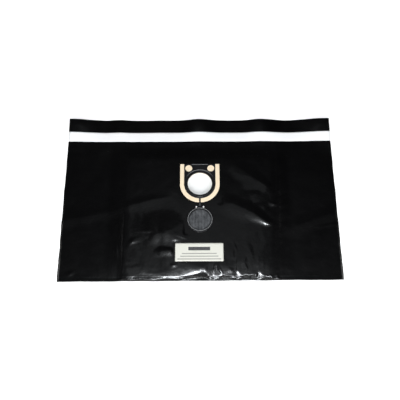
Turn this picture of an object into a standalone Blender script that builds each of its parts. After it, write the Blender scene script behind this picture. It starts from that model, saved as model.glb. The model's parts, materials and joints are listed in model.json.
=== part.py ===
"""A disposal bag for a vacuum cleaner, lying flat as it is supplied: a white fleece
filter bag inside a black film bag, both fixed to a flange with its own closing plug.

Metres, +Z up. The origin is on the surface that the bag lies on, under the middle of
its outline. +X runs across the bag and +Y towards its sealing lip.
"""

import math

import bmesh
import bpy
from mathutils import Matrix, Vector

# Film bag
BAG_WIDTH = 0.700
POUCH_LENGTH = 0.382  # from the bottom edge to the mouth
LIP_LENGTH = 0.068  # the back wall beyond the mouth
FILM = 0.0002
HEM = 0.0084  # from the bottom edge to the weld line
HEM_RISE = 0.0005  # height of the front wall over the back wall at the weld
EDGE_RISE = 0.0009  # the same in the side wings
MOUTH_RISE = 0.0014  # the same at the open mouth
SIDE_FALL = 0.058  # width of the slope beside the filter bag
TOP_FALL = 0.045  # length of the slope above the filter bag
SHOULDER = 0.014  # how far inside the filter bag's edge the slopes start

# Filter bag
FILTER_WIDTH = 0.386
FILTER_INSET = 0.022  # from the film bag's bottom edge to the filter bag's
FILTER_FROM_MOUTH = 0.045  # from the mouth to the filter bag's top edge
FLEECE = 0.0012
DUST_DEPTH = 0.0046  # clear height inside the filter bag
FILTER_TAPER = 0.030  # width of the filter bag's sloping border
FILTER_EDGE_SLOT = 0.0002  # clear height inside, at the seams

# Flange
INLET_FROM_MOUTH = 0.1285  # from the mouth to the centre of the inlet
INLET_RADIUS = 0.03145
RING_WIDTH = 0.0082
RING_HEIGHT = 0.0015  # above the plate
RING_STEP = 0.0009  # plate beyond the ring at each side
BOARD_BAND = 0.0105  # board beyond the plate at each side
FLANGE_REACH = 0.057  # from the inlet's centre to the straight top edge
BOARD = 0.0016
PLATE = 0.0012
PLATE_TOP_INSET = 0.001
FILM_SETBACK = 0.0016  # film and fleece stand back from the inlet by this
WINDOW_RADIUS = 0.00925
WINDOW_SPREAD = 0.0287  # from the middle to each window's centre
WINDOW_DROP = 0.0129  # from the flange's top edge to the windows' centres
PRESSED_RADIUS = 0.0045  # pressed spot in the board, inside each window
PRESSED_HEIGHT = 0.0004
TOP_RIB_LENGTH = 0.042
TOP_RIB_WIDTH = 0.0012
TOP_RIB_HEIGHT = 0.0007

# Plug, strap and pegs
PLUG_CLEARANCE = 0.00035  # between the plug's rim and the inlet's wall
PLUG_WALL = 0.0020
PLUG_RIM_HEIGHT = 0.0042  # above the brim
BRIM = 0.0010
BRIM_OVERLAP = 0.0020  # how far the brim reaches over the ring
RIM_ROUND = 0.0004
RIB_COUNT = 7
RIB_PITCH = 0.0075
RIB_WIDTH = 0.0010
RIB_HEIGHT = 0.0008
RIB_SETBACK = 0.0025  # from the ribs' ends to the rim
FOLD_INSET = 0.0017  # the strap folds this far inside the board's lower edge
STRAP_WIDTH = 0.0045
STRAP = 0.0008
STRAP_STEP = 0.0001  # the strap's underside over the plate's underside
STRAP_LEVEL = 0.0010  # level stretch beyond the board's edge, before it slopes down
LUG_WIDTH = 0.0266
LUG_CORNER = 0.0020
LUG_STEP = 0.00005  # the lug's faces inside the brim's faces
LUG_BEYOND_PEG = 0.0035
PEG_SPREAD = 0.0091  # from the middle to each peg
PEG_FROM_PLUG = 0.0349  # from the plug's centre to the pegs, along the strap
PEG_HEAD_RADIUS = 0.0022
PEG_HEAD_HEIGHT = 0.0014
PEG_SHANK_RADIUS = 0.0013

# Lip strips and label
LINER_FROM_MOUTH = 0.0010
LINER_WIDTH = 0.0275
LINER = 0.00012
TAPE_INSET = 0.0015  # tape edge inside the liner's edge, at both long sides
TAPE = 0.00015
LABEL_WIDTH = 0.119
LABEL_HEIGHT = 0.047
LABEL_RAISE = 0.005125  # label's centre above the middle between plug and weld line
LABEL_OFFSET = -0.002
LABEL = 0.00015

# Fits
SEAT_GAP = 0.0003  # between pieces that rest on or in each other
FLAT_BESIDE = 0.017  # the film stays flat this far beside the flange, plug or label
FLAT_BEYOND = 0.0112  # the same above and below them
FOLD_RISE = 0.009  # from there a fold reaches its height within this

# Mesh density
CORE_COLUMNS = 22
WING_COLUMNS = 4
CIRCLE_STEPS = 48
PEG_STEPS = 16

# Folds of the front wall as (x, y) to (x, y), height and half width. They are
# where the film buckles over the filter bag and gathers along the bottom weld.
FOLDS = [
    ((0.056, -0.025), (0.167, -0.081), 0.0034, 0.017),
    ((0.078, 0.090), (0.175, 0.016), 0.0020, 0.019),
    ((-0.100, -0.111), (-0.091, -0.181), 0.0024, 0.016),
    ((-0.165, -0.160), (-0.140, -0.140), 0.0018, 0.015),
    ((-0.172, -0.200), (-0.085, -0.203), 0.0020, 0.010),
    ((-0.070, -0.203), (-0.002, -0.197), 0.0030, 0.011),
    ((-0.052, -0.186), (-0.078, -0.168), 0.0018, 0.014),
    ((0.016, -0.204), (0.012, -0.188), 0.0022, 0.012),
    ((0.050, -0.205), (0.064, -0.170), 0.0028, 0.013),
    ((0.094, -0.206), (0.086, -0.172), 0.0038, 0.012),
    ((0.124, -0.205), (0.112, -0.178), 0.0026, 0.012),
    ((0.154, -0.206), (0.142, -0.182), 0.0028, 0.012),
    ((0.214, -0.091), (0.252, -0.075), 0.0022, 0.026),
    ((0.252, -0.075), (0.336, -0.056), 0.0018, 0.030),
    ((-0.320, -0.078), (-0.236, -0.062), 0.0016, 0.030),
    ((-0.190, -0.196), (-0.190, 0.140), 0.0010, 0.008),
    ((0.196, -0.196), (0.203, 0.140), 0.0012, 0.010),
]

# Where the film lifts off the surface beyond the filter bag, as x, height at the
# lip's far edge, and half width. The outer two are the curled corners.
LIFTS = [
    (-0.350, 0.0125, 0.110),
    (-0.216, 0.0030, 0.050),
    (-0.003, 0.0080, 0.060),
    (0.168, 0.0075, 0.062),
    (0.350, 0.0120, 0.110),
]

# Places that follow from the sizes
HALF_WIDTH = BAG_WIDTH / 2
BOTTOM_Y = -(POUCH_LENGTH + LIP_LENGTH) / 2
WELD_Y = BOTTOM_Y + HEM
MOUTH_Y = BOTTOM_Y + POUCH_LENGTH
LIP_END_Y = MOUTH_Y + LIP_LENGTH
FILTER_HALF = FILTER_WIDTH / 2
FILTER_BOTTOM_Y = BOTTOM_Y + FILTER_INSET
FILTER_TOP_Y = MOUTH_Y - FILTER_FROM_MOUTH
INLET_Y = MOUTH_Y - INLET_FROM_MOUTH
RING_RADIUS = INLET_RADIUS + RING_WIDTH
PLATE_RADIUS = RING_RADIUS + RING_STEP
BOARD_RADIUS = PLATE_RADIUS + BOARD_BAND
FLANGE_TOP_Y = INLET_Y + FLANGE_REACH
BOARD_BOTTOM_Y = INLET_Y - BOARD_RADIUS
FOLD_Y = BOARD_BOTTOM_Y + FOLD_INSET
PLUG_Y = 2 * FOLD_Y - INLET_Y
BRIM_RADIUS = INLET_RADIUS + BRIM_OVERLAP
PEG_Y = PLUG_Y + PEG_FROM_PLUG
LUG_END_Y = PEG_Y + LUG_BEYOND_PEG
LABEL_Y = (PLUG_Y - BRIM_RADIUS + WELD_Y) / 2 + LABEL_RAISE
LINER_Y = MOUTH_Y + LINER_FROM_MOUTH
HOLE_RADIUS = INLET_RADIUS + FILM_SETBACK

# Heights that follow from the sizes
FILTER_Z = FILM + SEAT_GAP
FILTER_TOP_Z = FILTER_Z + 2 * FLEECE + DUST_DEPTH
FRONT_Z = FILTER_TOP_Z + SEAT_GAP + FILM
BOARD_Z = FRONT_Z + SEAT_GAP
BOARD_TOP_Z = BOARD_Z + BOARD
PLATE_Z = BOARD_TOP_Z + SEAT_GAP
PLATE_TOP_Z = PLATE_Z + PLATE
RING_TOP_Z = PLATE_TOP_Z + RING_HEIGHT
BRIM_TOP_Z = BOARD_Z + BRIM
PEG_HEAD_Z = BRIM_TOP_Z + SEAT_GAP
STRAP_Z = PLATE_Z + STRAP_STEP
FOLD_Z = (BRIM_TOP_Z + RING_TOP_Z + SEAT_GAP) / 2
ABOVE_ALL = RING_TOP_Z + PLUG_RIM_HEIGHT


def clear_scene():
    for old in list(bpy.data.objects):
        bpy.data.objects.remove(old, do_unlink=True)


def finish(name, colour, roughness):
    """A Principled material of one colour."""
    made = bpy.data.materials.new(name)
    made.use_nodes = True
    shader = made.node_tree.nodes["Principled BSDF"]
    shader.inputs["Base Color"].default_value = (*colour, 1.0)
    shader.inputs["Roughness"].default_value = roughness
    shader.inputs["Metallic"].default_value = 0.0
    return made


def add_object(name, bm, surface=None, parent=None):
    """Puts a mesh, built in world coordinates, into the scene. Under a parent its
    origin moves to the parent's, and the shape stays where it is."""
    mesh = bpy.data.meshes.new(name)
    bm.to_mesh(mesh)
    bm.free()
    obj = bpy.data.objects.new(name, mesh)
    bpy.context.scene.collection.objects.link(obj)
    if surface:
        mesh.materials.append(surface)
    if parent:
        mesh.transform(Matrix.Translation(-parent.location))
        obj.parent = parent
    return obj


def add_helper(name, bm):
    """A hidden shape for a Boolean."""
    obj = add_object(name, bm)
    obj.hide_render = True
    obj.display_type = "WIRE"
    return obj


def combine(obj, other, operation):
    modifier = obj.modifiers.new(other.name, "BOOLEAN")
    modifier.operation = operation
    modifier.object = other
    modifier.solver = "EXACT"


def round_shading(obj):
    obj.data.shade_smooth()
    obj.data.set_sharp_from_angle(angle=math.radians(35))


def smooth(t):
    """0 below t = 0, 1 above t = 1, and an S curve between."""
    t = min(max(t, 0.0), 1.0)
    return t * t * (3.0 - 2.0 * t)


def steps_between(start, end, count):
    """count + 1 evenly spaced values."""
    return [start + (end - start) * i / count for i in range(count + 1)]


def prism(bm, outline, low, high):
    """A level outline of (x, y) points, extruded from low to high."""
    base = bm.faces.new([bm.verts.new((x, y, low)) for x, y in outline])
    raised = bmesh.ops.extrude_face_region(bm, geom=[base])["geom"]
    verts = [item for item in raised if isinstance(item, bmesh.types.BMVert)]
    bmesh.ops.translate(bm, verts=verts, vec=(0.0, 0.0, high - low))
    bmesh.ops.recalc_face_normals(bm, faces=bm.faces)
    return [edge for edge in bm.edges if edge.verts[0].co.z != edge.verts[1].co.z]


def rectangle(left, right, bottom, top):
    return [(left, bottom), (right, bottom), (right, top), (left, top)]


def circle(x, y, radius, steps):
    angles = [2 * math.pi * i / steps for i in range(steps)]
    return [(x + radius * math.cos(a), y + radius * math.sin(a)) for a in angles]


def flange_outline(radius, top):
    """A half circle below the inlet's centre and straight sides up to the top edge."""
    angles = steps_between(math.pi, 2 * math.pi, CIRCLE_STEPS // 2)
    arc = [(radius * math.cos(a), INLET_Y + radius * math.sin(a)) for a in angles]
    return arc + [(radius, top), (-radius, top)]


def turn(bm, profile, x, y, steps):
    """Spins a profile of (radius, z) points about the vertical line through x, y."""
    verts = [bm.verts.new((x + radius, y, z)) for radius, z in profile]
    edges = [bm.edges.new(pair) for pair in zip(verts, verts[1:])]
    bmesh.ops.spin(
        bm,
        geom=verts + edges,
        cent=(x, y, 0.0),
        axis=(0.0, 0.0, 1.0),
        angle=2 * math.pi,
        steps=steps,
    )
    bmesh.ops.remove_doubles(bm, verts=bm.verts, dist=1e-6)
    bmesh.ops.recalc_face_normals(bm, faces=bm.faces)


def upright_cylinders(name, places, radius, low, high, steps):
    """One helper of several cylinders with one radius."""
    bm = bmesh.new()
    for x, y in places:
        prism(bm, circle(x, y, radius, steps), low, high)
    return add_helper(name, bm)


def skin(bm, rows):
    """Faces between neighbouring rows of vertices."""
    for near, far in zip(rows, rows[1:]):
        for i in range(len(near) - 1):
            bm.faces.new((near[i], near[i + 1], far[i + 1], far[i]))


def thicken(obj, thickness, offset):
    modifier = obj.modifiers.new("wall", "SOLIDIFY")
    modifier.thickness = thickness
    modifier.offset = offset
    modifier.use_even_offset = True
    modifier.use_rim = True


def beside(value, low, high):
    """How far a value lies outside a range, or 0 inside it."""
    return max(low - value, value - high, 0.0)


def clear_of_fittings(x, y):
    """0 where the flange, the plug or the label lies on the film, 1 away from them."""
    fittings = [
        (-BOARD_RADIUS, BOARD_RADIUS, BOARD_BOTTOM_Y, FLANGE_TOP_Y),
        (-BRIM_RADIUS, BRIM_RADIUS, PLUG_Y - BRIM_RADIUS, FOLD_Y),
        (
            LABEL_OFFSET - LABEL_WIDTH / 2,
            LABEL_OFFSET + LABEL_WIDTH / 2,
            LABEL_Y - LABEL_HEIGHT / 2,
            LABEL_Y + LABEL_HEIGHT / 2,
        ),
    ]
    freedom = 1.0
    for left, right, bottom, top in fittings:
        across = beside(x, left - FLAT_BESIDE, right + FLAT_BESIDE)
        along = beside(y, bottom - FLAT_BEYOND, top + FLAT_BEYOND)
        freedom *= smooth(math.hypot(across, along) / FOLD_RISE)
    return freedom


def fold_height(x, y):
    """The highest of the folds that pass over this point."""
    point = Vector((x, y))
    highest = 0.0
    for start, end, height, half_width in FOLDS:
        start, along = Vector(start), Vector(end) - Vector(start)
        share = min(max((point - start).dot(along) / along.length_squared, 0.0), 1.0)
        away = (point - start - along * share).length
        highest = max(highest, height * (1.0 - smooth(away / half_width)))
    return highest * clear_of_fittings(x, y) * smooth((y - WELD_Y) / HEM)


def lift(x, y):
    """How far the back wall and lip rise off the surface beyond the filter bag."""
    reach = smooth((y - FILTER_TOP_Y) / (LIP_END_Y - FILTER_TOP_Y)) ** 1.4
    rise = [height * (1.0 - smooth(abs(x - at) / wide)) for at, height, wide in LIFTS]
    return max(rise) * reach


def back_height(x, y):
    return FILM / 2 + lift(x, y)


def front_height(x, y):
    """Middle of the front wall: a low wing all round, a raised field over the filter
    bag, and the folds on top of both."""
    wing = HEM_RISE + (EDGE_RISE - HEM_RISE) * smooth((y - WELD_Y) / FILTER_TAPER)
    wing += (MOUTH_RISE - EDGE_RISE) * smooth((y - FILTER_TOP_Y) / FILTER_TAPER)
    field = 1.0 - smooth((abs(x) - FILTER_HALF + SHOULDER) / SIDE_FALL)
    field *= 1.0 - smooth((y - FILTER_TOP_Y + SHOULDER) / TOP_FALL)
    field *= smooth((y - WELD_Y) / (FILTER_BOTTOM_Y + SHOULDER - WELD_Y))
    step = FRONT_Z - FILM - wing
    return back_height(x, y) + wing + step * field + fold_height(x, y)


def film_columns():
    """Places across the bag, closer together over the filter bag's edges."""
    flat = FILTER_HALF - SHOULDER
    slope = FILTER_HALF - SHOULDER + SIDE_FALL
    edge = HALF_WIDTH - FILM / 2
    core = steps_between(-flat, flat, CORE_COLUMNS)
    right = [FILTER_HALF - SHOULDER / 2, FILTER_HALF, FILTER_HALF + SHOULDER / 2]
    right += [FILTER_HALF + SHOULDER * 1.5]
    right += steps_between(slope, edge, WING_COLUMNS)
    return [-x for x in reversed(right)] + core + right


def front_rows():
    """Places along the front wall, closer together where the film gathers."""
    gather_end = FILTER_BOTTOM_Y + SHOULDER
    calm_start = LABEL_Y
    calm_end = FILTER_TOP_Y - SHOULDER
    rows = [BOTTOM_Y + FILM / 2]
    rows += steps_between(WELD_Y, gather_end, 4)
    rows += steps_between(gather_end, calm_start, 3)[1:]
    rows += steps_between(calm_start, calm_end, 10)[1:]
    rows += steps_between(calm_end, calm_end + TOP_FALL, 3)[1:]
    return rows + [MOUTH_Y]


def lip_rows():
    """Places along the lip, shared with the strips that lie on it."""
    return [
        LINER_Y,
        LINER_Y + LINER_WIDTH / 2,
        LINER_Y + LINER_WIDTH,
        (LINER_Y + LINER_WIDTH + LIP_END_Y) / 2,
        LIP_END_Y,
    ]


def join_side(bm, back, front, back_y, front_y, side):
    """Closes one side fold: each stretch of the back edge meets the front edge's
    points over it."""
    for k in range(len(back_y) - 1):
        first = front_y.index(back_y[k])
        last = front_y.index(back_y[k + 1])
        over = [front[j][side] for j in range(last, first - 1, -1)]
        bm.faces.new([back[k][side], back[k + 1][side]] + over)


def film_bag(surface):
    """One sheet: back wall with lip, side folds, bottom weld and front wall, open at
    the mouth and with the inlet cut through its front."""
    columns = film_columns()
    front_y = front_rows()
    pouch_y = front_y[:-1:3] + [front_y[-1]]
    back_y = pouch_y + lip_rows()
    bm = bmesh.new()
    back = [[bm.verts.new((x, y, back_height(x, y))) for x in columns] for y in back_y]
    front = [[bm.verts.new((x, y, front_height(x, y))) for x in columns] for y in front_y]
    skin(bm, back)
    skin(bm, front)
    skin(bm, [back[0], front[0]])
    join_side(bm, back, front, pouch_y, front_y, 0)
    join_side(bm, back, front, pouch_y, front_y, -1)
    bmesh.ops.recalc_face_normals(bm, faces=bm.faces)
    bag = add_object("film_bag", bm, surface)
    thicken(bag, FILM, 0.0)
    low = FRONT_Z - DUST_DEPTH
    hole = upright_cylinders("film_hole", [(0.0, INLET_Y)], HOLE_RADIUS, low, ABOVE_ALL, CIRCLE_STEPS)
    combine(bag, hole, "DIFFERENCE")


def filter_bag(surface):
    """A flat pillow of fleece: two walls that meet at sloping borders, hollow inside,
    with the inlet cut through its front wall."""
    low = FILTER_Z + FLEECE / 2
    seam = low + FLEECE + FILTER_EDGE_SLOT
    crown = FILTER_TOP_Z - FLEECE / 2
    flat_x = FILTER_HALF - FILTER_TAPER
    edge_x = FILTER_HALF - FLEECE / 2
    flat_low, flat_high = FILTER_BOTTOM_Y + FILTER_TAPER, FILTER_TOP_Y - FILTER_TAPER
    edge_low, edge_high = FILTER_BOTTOM_Y + FLEECE / 2, FILTER_TOP_Y - FLEECE / 2
    columns = steps_between(-edge_x, -flat_x, 2) + steps_between(-flat_x, flat_x, 6)[1:]
    columns += steps_between(flat_x, edge_x, 2)[1:]
    rows = steps_between(edge_low, flat_low, 2) + steps_between(flat_low, flat_high, 5)[1:]
    rows += steps_between(flat_high, edge_high, 2)[1:]

    def crowned(x, y):
        inside = 1.0 - smooth((abs(x) - flat_x) / (edge_x - flat_x))
        inside *= 1.0 - smooth((flat_low - y) / (flat_low - edge_low))
        inside *= 1.0 - smooth((y - flat_high) / (edge_high - flat_high))
        return seam + (crown - seam) * inside

    bm = bmesh.new()
    back = [[bm.verts.new((x, y, low)) for x in columns] for y in rows]
    front = [[bm.verts.new((x, y, crowned(x, y))) for x in columns] for y in rows]
    skin(bm, back)
    skin(bm, front)
    skin(bm, [back[0], front[0]])
    skin(bm, [back[-1], front[-1]])
    skin(bm, [[row[0] for row in back], [row[0] for row in front]])
    skin(bm, [[row[-1] for row in back], [row[-1] for row in front]])
    bmesh.ops.recalc_face_normals(bm, faces=bm.faces)
    bag = add_object("filter_bag", bm, surface)
    thicken(bag, FLEECE, 0.0)
    hole = upright_cylinders(
        "filter_hole",
        [(0.0, INLET_Y)],
        HOLE_RADIUS,
        FILTER_TOP_Z - FLEECE - DUST_DEPTH / 2,
        ABOVE_ALL,
        CIRCLE_STEPS,
    )
    combine(bag, hole, "DIFFERENCE")


def window_places():
    y = FLANGE_TOP_Y - WINDOW_DROP
    return [(-WINDOW_SPREAD, y), (WINDOW_SPREAD, y)]


def inlet_cutter(name):
    return upright_cylinders(name, [(0.0, INLET_Y)], INLET_RADIUS, BOARD_Z / 2, ABOVE_ALL, CIRCLE_STEPS)


def flange_board(surface):
    """The tan board under the plate, with a pressed spot inside each window."""
    bm = bmesh.new()
    prism(bm, flange_outline(BOARD_RADIUS, FLANGE_TOP_Y), BOARD_Z, BOARD_TOP_Z)
    board = add_object("flange_board", bm, surface)
    spots = upright_cylinders(
        "pressed_spots",
        window_places(),
        PRESSED_RADIUS,
        BOARD_TOP_Z - PRESSED_HEIGHT,
        BOARD_TOP_Z + PRESSED_HEIGHT,
        PEG_STEPS,
    )
    combine(board, spots, "UNION")
    combine(board, inlet_cutter("board_inlet"), "DIFFERENCE")
    round_shading(board)


def peg_places():
    return [(-PEG_SPREAD, PEG_Y), (PEG_SPREAD, PEG_Y)]


def flange_plate(surface):
    """The black plate: ring, windows, top rib, sockets for the plug's pegs and the
    fixed end of the strap, which crosses the board's band to the fold."""
    bm = bmesh.new()
    top = FLANGE_TOP_Y - PLATE_TOP_INSET
    prism(bm, flange_outline(PLATE_RADIUS, top), PLATE_Z, PLATE_TOP_Z)
    plate = add_object("flange_plate", bm, surface)
    inside = (PLATE_Z + PLATE_TOP_Z) / 2
    ring = upright_cylinders("ring", [(0.0, INLET_Y)], RING_RADIUS, inside, RING_TOP_Z, CIRCLE_STEPS)
    combine(plate, ring, "UNION")
    bm = bmesh.new()
    strap = rectangle(-STRAP_WIDTH / 2, STRAP_WIDTH / 2, FOLD_Y + SEAT_GAP / 2, INLET_Y - INLET_RADIUS)
    prism(bm, strap, STRAP_Z, STRAP_Z + STRAP)
    combine(plate, add_helper("strap_root", bm), "UNION")
    bm = bmesh.new()
    rib = rectangle(-TOP_RIB_LENGTH / 2, TOP_RIB_LENGTH / 2, top - 2 * TOP_RIB_WIDTH, top - TOP_RIB_WIDTH)
    prism(bm, rib, inside, PLATE_TOP_Z + TOP_RIB_HEIGHT)
    combine(plate, add_helper("top_rib", bm), "UNION")
    combine(plate, inlet_cutter("plate_inlet"), "DIFFERENCE")
    windows = upright_cylinders(
        "windows", window_places(), WINDOW_RADIUS, BOARD_TOP_Z, ABOVE_ALL, CIRCLE_STEPS // 2
    )
    combine(plate, windows, "DIFFERENCE")
    sockets = upright_cylinders(
        "peg_sockets",
        [(x, 2 * FOLD_Y - y) for x, y in peg_places()],
        PEG_HEAD_RADIUS + SEAT_GAP,
        2 * FOLD_Z - PEG_HEAD_Z - PEG_HEAD_HEIGHT - SEAT_GAP,
        ABOVE_ALL,
        PEG_STEPS,
    )
    combine(plate, sockets, "DIFFERENCE")
    round_shading(plate)


def strap_tail():
    """The moving end of the strap, from the fold down to the plug's lug."""
    start = FOLD_Y - SEAT_GAP / 2
    level_end = BOARD_BOTTOM_Y - STRAP_LEVEL
    landing = LUG_END_Y + LUG_BEYOND_PEG / 2
    low = BOARD_Z + (BRIM - STRAP) / 2
    under = [(start, STRAP_Z), (level_end, STRAP_Z), (landing, low), (PEG_Y, low)]
    over = [(y, z + STRAP) for y, z in reversed(under)]
    bm = bmesh.new()
    side = bm.faces.new([bm.verts.new((-STRAP_WIDTH / 2, y, z)) for y, z in under + over])
    raised = bmesh.ops.extrude_face_region(bm, geom=[side])["geom"]
    verts = [item for item in raised if isinstance(item, bmesh.types.BMVert)]
    bmesh.ops.translate(bm, verts=verts, vec=(STRAP_WIDTH, 0.0, 0.0))
    bmesh.ops.recalc_face_normals(bm, faces=bm.faces)
    return add_helper("strap_tail", bm)


def plug_ribs():
    """Parallel ribs on the plug's floor, each a chord of the circle inside the rim."""
    reach = INLET_RADIUS - PLUG_CLEARANCE - PLUG_WALL - RIB_SETBACK
    bm = bmesh.new()
    for i in range(RIB_COUNT):
        x = (i - (RIB_COUNT - 1) / 2) * RIB_PITCH
        half = math.sqrt(max(reach**2 - x**2, RIB_WIDTH**2))
        chord = rectangle(x - RIB_WIDTH / 2, x + RIB_WIDTH / 2, PLUG_Y - half, PLUG_Y + half)
        prism(bm, chord, BRIM_TOP_Z - BRIM / 2, BRIM_TOP_Z + RIB_HEIGHT)
    return add_helper("plug_ribs", bm)


def plug_lug():
    """The flat lug between the brim and the strap, which carries the pegs."""
    bm = bmesh.new()
    lug = rectangle(-LUG_WIDTH / 2, LUG_WIDTH / 2, PLUG_Y, LUG_END_Y)
    upright = prism(bm, lug, BOARD_Z + LUG_STEP, BRIM_TOP_Z - LUG_STEP)
    bmesh.ops.bevel(bm, geom=upright, offset=LUG_CORNER, segments=3, profile=0.5, affect="EDGES")
    return add_helper("plug_lug", bm)


def closing_plug(surface, hinge):
    """The plug, lying face up: brim, rim, floor with ribs, lug and strap."""
    rim = INLET_RADIUS - PLUG_CLEARANCE
    rim_top = BRIM_TOP_Z + PLUG_RIM_HEIGHT
    profile = [
        (0.0, BOARD_Z),
        (BRIM_RADIUS, BOARD_Z),
        (BRIM_RADIUS, BRIM_TOP_Z),
        (rim, BRIM_TOP_Z),
        (rim, rim_top - RIM_ROUND),
        (rim - RIM_ROUND, rim_top),
        (rim - PLUG_WALL + RIM_ROUND, rim_top),
        (rim - PLUG_WALL, rim_top - RIM_ROUND),
        (rim - PLUG_WALL, BRIM_TOP_Z),
        (0.0, BRIM_TOP_Z),
    ]
    bm = bmesh.new()
    turn(bm, profile, 0.0, PLUG_Y, CIRCLE_STEPS)
    plug = add_object("closing_plug", bm, surface, hinge)
    combine(plug, plug_lug(), "UNION")
    combine(plug, strap_tail(), "UNION")
    combine(plug, plug_ribs(), "UNION")
    bores = upright_cylinders(
        "peg_bores", peg_places(), PEG_SHANK_RADIUS + SEAT_GAP, BOARD_Z / 2, ABOVE_ALL, PEG_STEPS
    )
    combine(plug, bores, "DIFFERENCE")
    round_shading(plug)


def lock_peg(name, x, y, surface, hinge):
    """A shank through the lug and a domed head over it."""
    dome = [math.radians(a) for a in (0, 30, 60, 90)]
    profile = [(0.0, BOARD_Z), (PEG_SHANK_RADIUS, BOARD_Z), (PEG_SHANK_RADIUS, PEG_HEAD_Z)]
    profile += [
        (PEG_HEAD_RADIUS * math.cos(a), PEG_HEAD_Z + PEG_HEAD_HEIGHT * math.sin(a)) for a in dome
    ]
    bm = bmesh.new()
    turn(bm, profile, x, y, PEG_STEPS)
    round_shading(add_object(name, bm, surface, hinge))


def lip_strip(name, rows, gap, thickness, surface):
    """A strip across the whole lip, which follows its bumps and curled corners."""
    bm = bmesh.new()
    points = [
        [bm.verts.new((x, y, back_height(x, y) + FILM / 2 + gap)) for x in film_columns()]
        for y in rows
    ]
    skin(bm, points)
    thicken(add_object(name, bm, surface), thickness, 1.0)


def label(surface):
    bm = bmesh.new()
    half_width, half_height = LABEL_WIDTH / 2, LABEL_HEIGHT / 2
    outline = rectangle(
        LABEL_OFFSET - half_width, LABEL_OFFSET + half_width, LABEL_Y - half_height, LABEL_Y + half_height
    )
    prism(bm, outline, FRONT_Z + SEAT_GAP, FRONT_Z + SEAT_GAP + LABEL)
    add_object("label", bm, surface)


def main():
    clear_scene()
    black_film = finish("black_film", (0.010, 0.010, 0.011), 0.22)
    white_fleece = finish("white_fleece", (0.88, 0.88, 0.86), 0.90)
    tan_board = finish("tan_board", (0.93, 0.78, 0.56), 0.70)
    black_plastic = finish("black_plastic", (0.020, 0.020, 0.021), 0.45)
    grey_plastic = finish("plug_plastic", (0.045, 0.046, 0.048), 0.42)
    white_plastic = finish("white_plastic", (0.90, 0.89, 0.86), 0.40)
    adhesive = finish("adhesive", (0.80, 0.77, 0.68), 0.30)
    liner_paper = finish("liner_paper", (0.92, 0.92, 0.93), 0.45)
    label_paper = finish("label_paper", (0.80, 0.80, 0.71), 0.60)

    hinge = bpy.data.objects.new("strap_fold_axis", None)
    hinge.location = Vector((0.0, FOLD_Y, FOLD_Z))
    bpy.context.scene.collection.objects.link(hinge)

    film_bag(black_film)
    filter_bag(white_fleece)
    flange_board(tan_board)
    flange_plate(black_plastic)
    closing_plug(grey_plastic, hinge)
    for side, (x, y) in zip(("left", "right"), peg_places()):
        lock_peg("lock_peg_" + side, x, y, white_plastic, hinge)
    liner_rows = lip_rows()[:3]
    tape_rows = [liner_rows[0] + TAPE_INSET, liner_rows[1], liner_rows[2] - TAPE_INSET]
    lip_strip("adhesive_tape", tape_rows, SEAT_GAP, TAPE, adhesive)
    lip_strip("release_liner", liner_rows, 2 * SEAT_GAP + TAPE, LINER, liner_paper)
    label(label_paper)
    bpy.context.view_layer.update()


main()
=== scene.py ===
# %% [markdown]
# # A disposal bag for a vacuum cleaner, dressed for a render
#
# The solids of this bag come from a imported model: film bag, fleece filter bag,
# flange board, flange plate, closing plug, pegs, tape, liner and label. They have the
# right size and place but plain surfaces. This lesson builds what the eye expects on
# top of them: thin black film that buckles and catches the light, moulded plastic,
# board, fleece and paper.
#
# Almost every piece is a surface worked out with numpy: whole arrays of points from a
# formula in two parameters. That suits film very well, because a wrinkled sheet is
# nothing but one height for every place on it.

# %% Load the frame
import json
import math

import bmesh
import bpy
import numpy as np
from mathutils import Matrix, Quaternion, Vector


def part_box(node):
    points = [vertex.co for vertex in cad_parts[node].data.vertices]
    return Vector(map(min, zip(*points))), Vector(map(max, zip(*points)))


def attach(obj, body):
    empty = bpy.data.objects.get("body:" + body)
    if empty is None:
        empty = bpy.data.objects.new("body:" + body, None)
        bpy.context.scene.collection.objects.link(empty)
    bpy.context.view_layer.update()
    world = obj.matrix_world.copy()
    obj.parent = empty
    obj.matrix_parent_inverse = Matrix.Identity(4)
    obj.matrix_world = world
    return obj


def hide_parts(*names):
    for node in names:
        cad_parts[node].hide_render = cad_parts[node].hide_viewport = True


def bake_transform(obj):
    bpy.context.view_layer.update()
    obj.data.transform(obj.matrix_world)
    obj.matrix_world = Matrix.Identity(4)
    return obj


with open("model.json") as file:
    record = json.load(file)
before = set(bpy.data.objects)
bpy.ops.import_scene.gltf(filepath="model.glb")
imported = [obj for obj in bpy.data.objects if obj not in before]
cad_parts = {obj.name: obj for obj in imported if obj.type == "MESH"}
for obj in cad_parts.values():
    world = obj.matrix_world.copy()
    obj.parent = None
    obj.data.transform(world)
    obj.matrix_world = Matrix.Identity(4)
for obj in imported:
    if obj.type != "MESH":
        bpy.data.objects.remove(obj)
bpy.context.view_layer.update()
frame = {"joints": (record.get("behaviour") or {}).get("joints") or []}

# %% [markdown]
# ## Sizes from the frame
#
# A modeller who dresses a finished design doesn't measure it again by eye. The corner
# points of each solid give most sizes, and what a box can't tell, such as the inlet's
# radius, is written once here in metres.

# %% Sizes and places
MM = 0.001
FILM = 0.2 * MM  # the film's thickness
GAP = 0.3 * MM  # between glued faces

film_low, film_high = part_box("film_bag")
filter_low, filter_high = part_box("filter_bag")
board_low, board_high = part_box("flange_board")
plate_low, plate_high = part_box("flange_plate")
plug_low, plug_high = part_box("closing_plug")
label_low, label_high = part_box("label")
liner_low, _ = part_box("release_liner")

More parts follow.
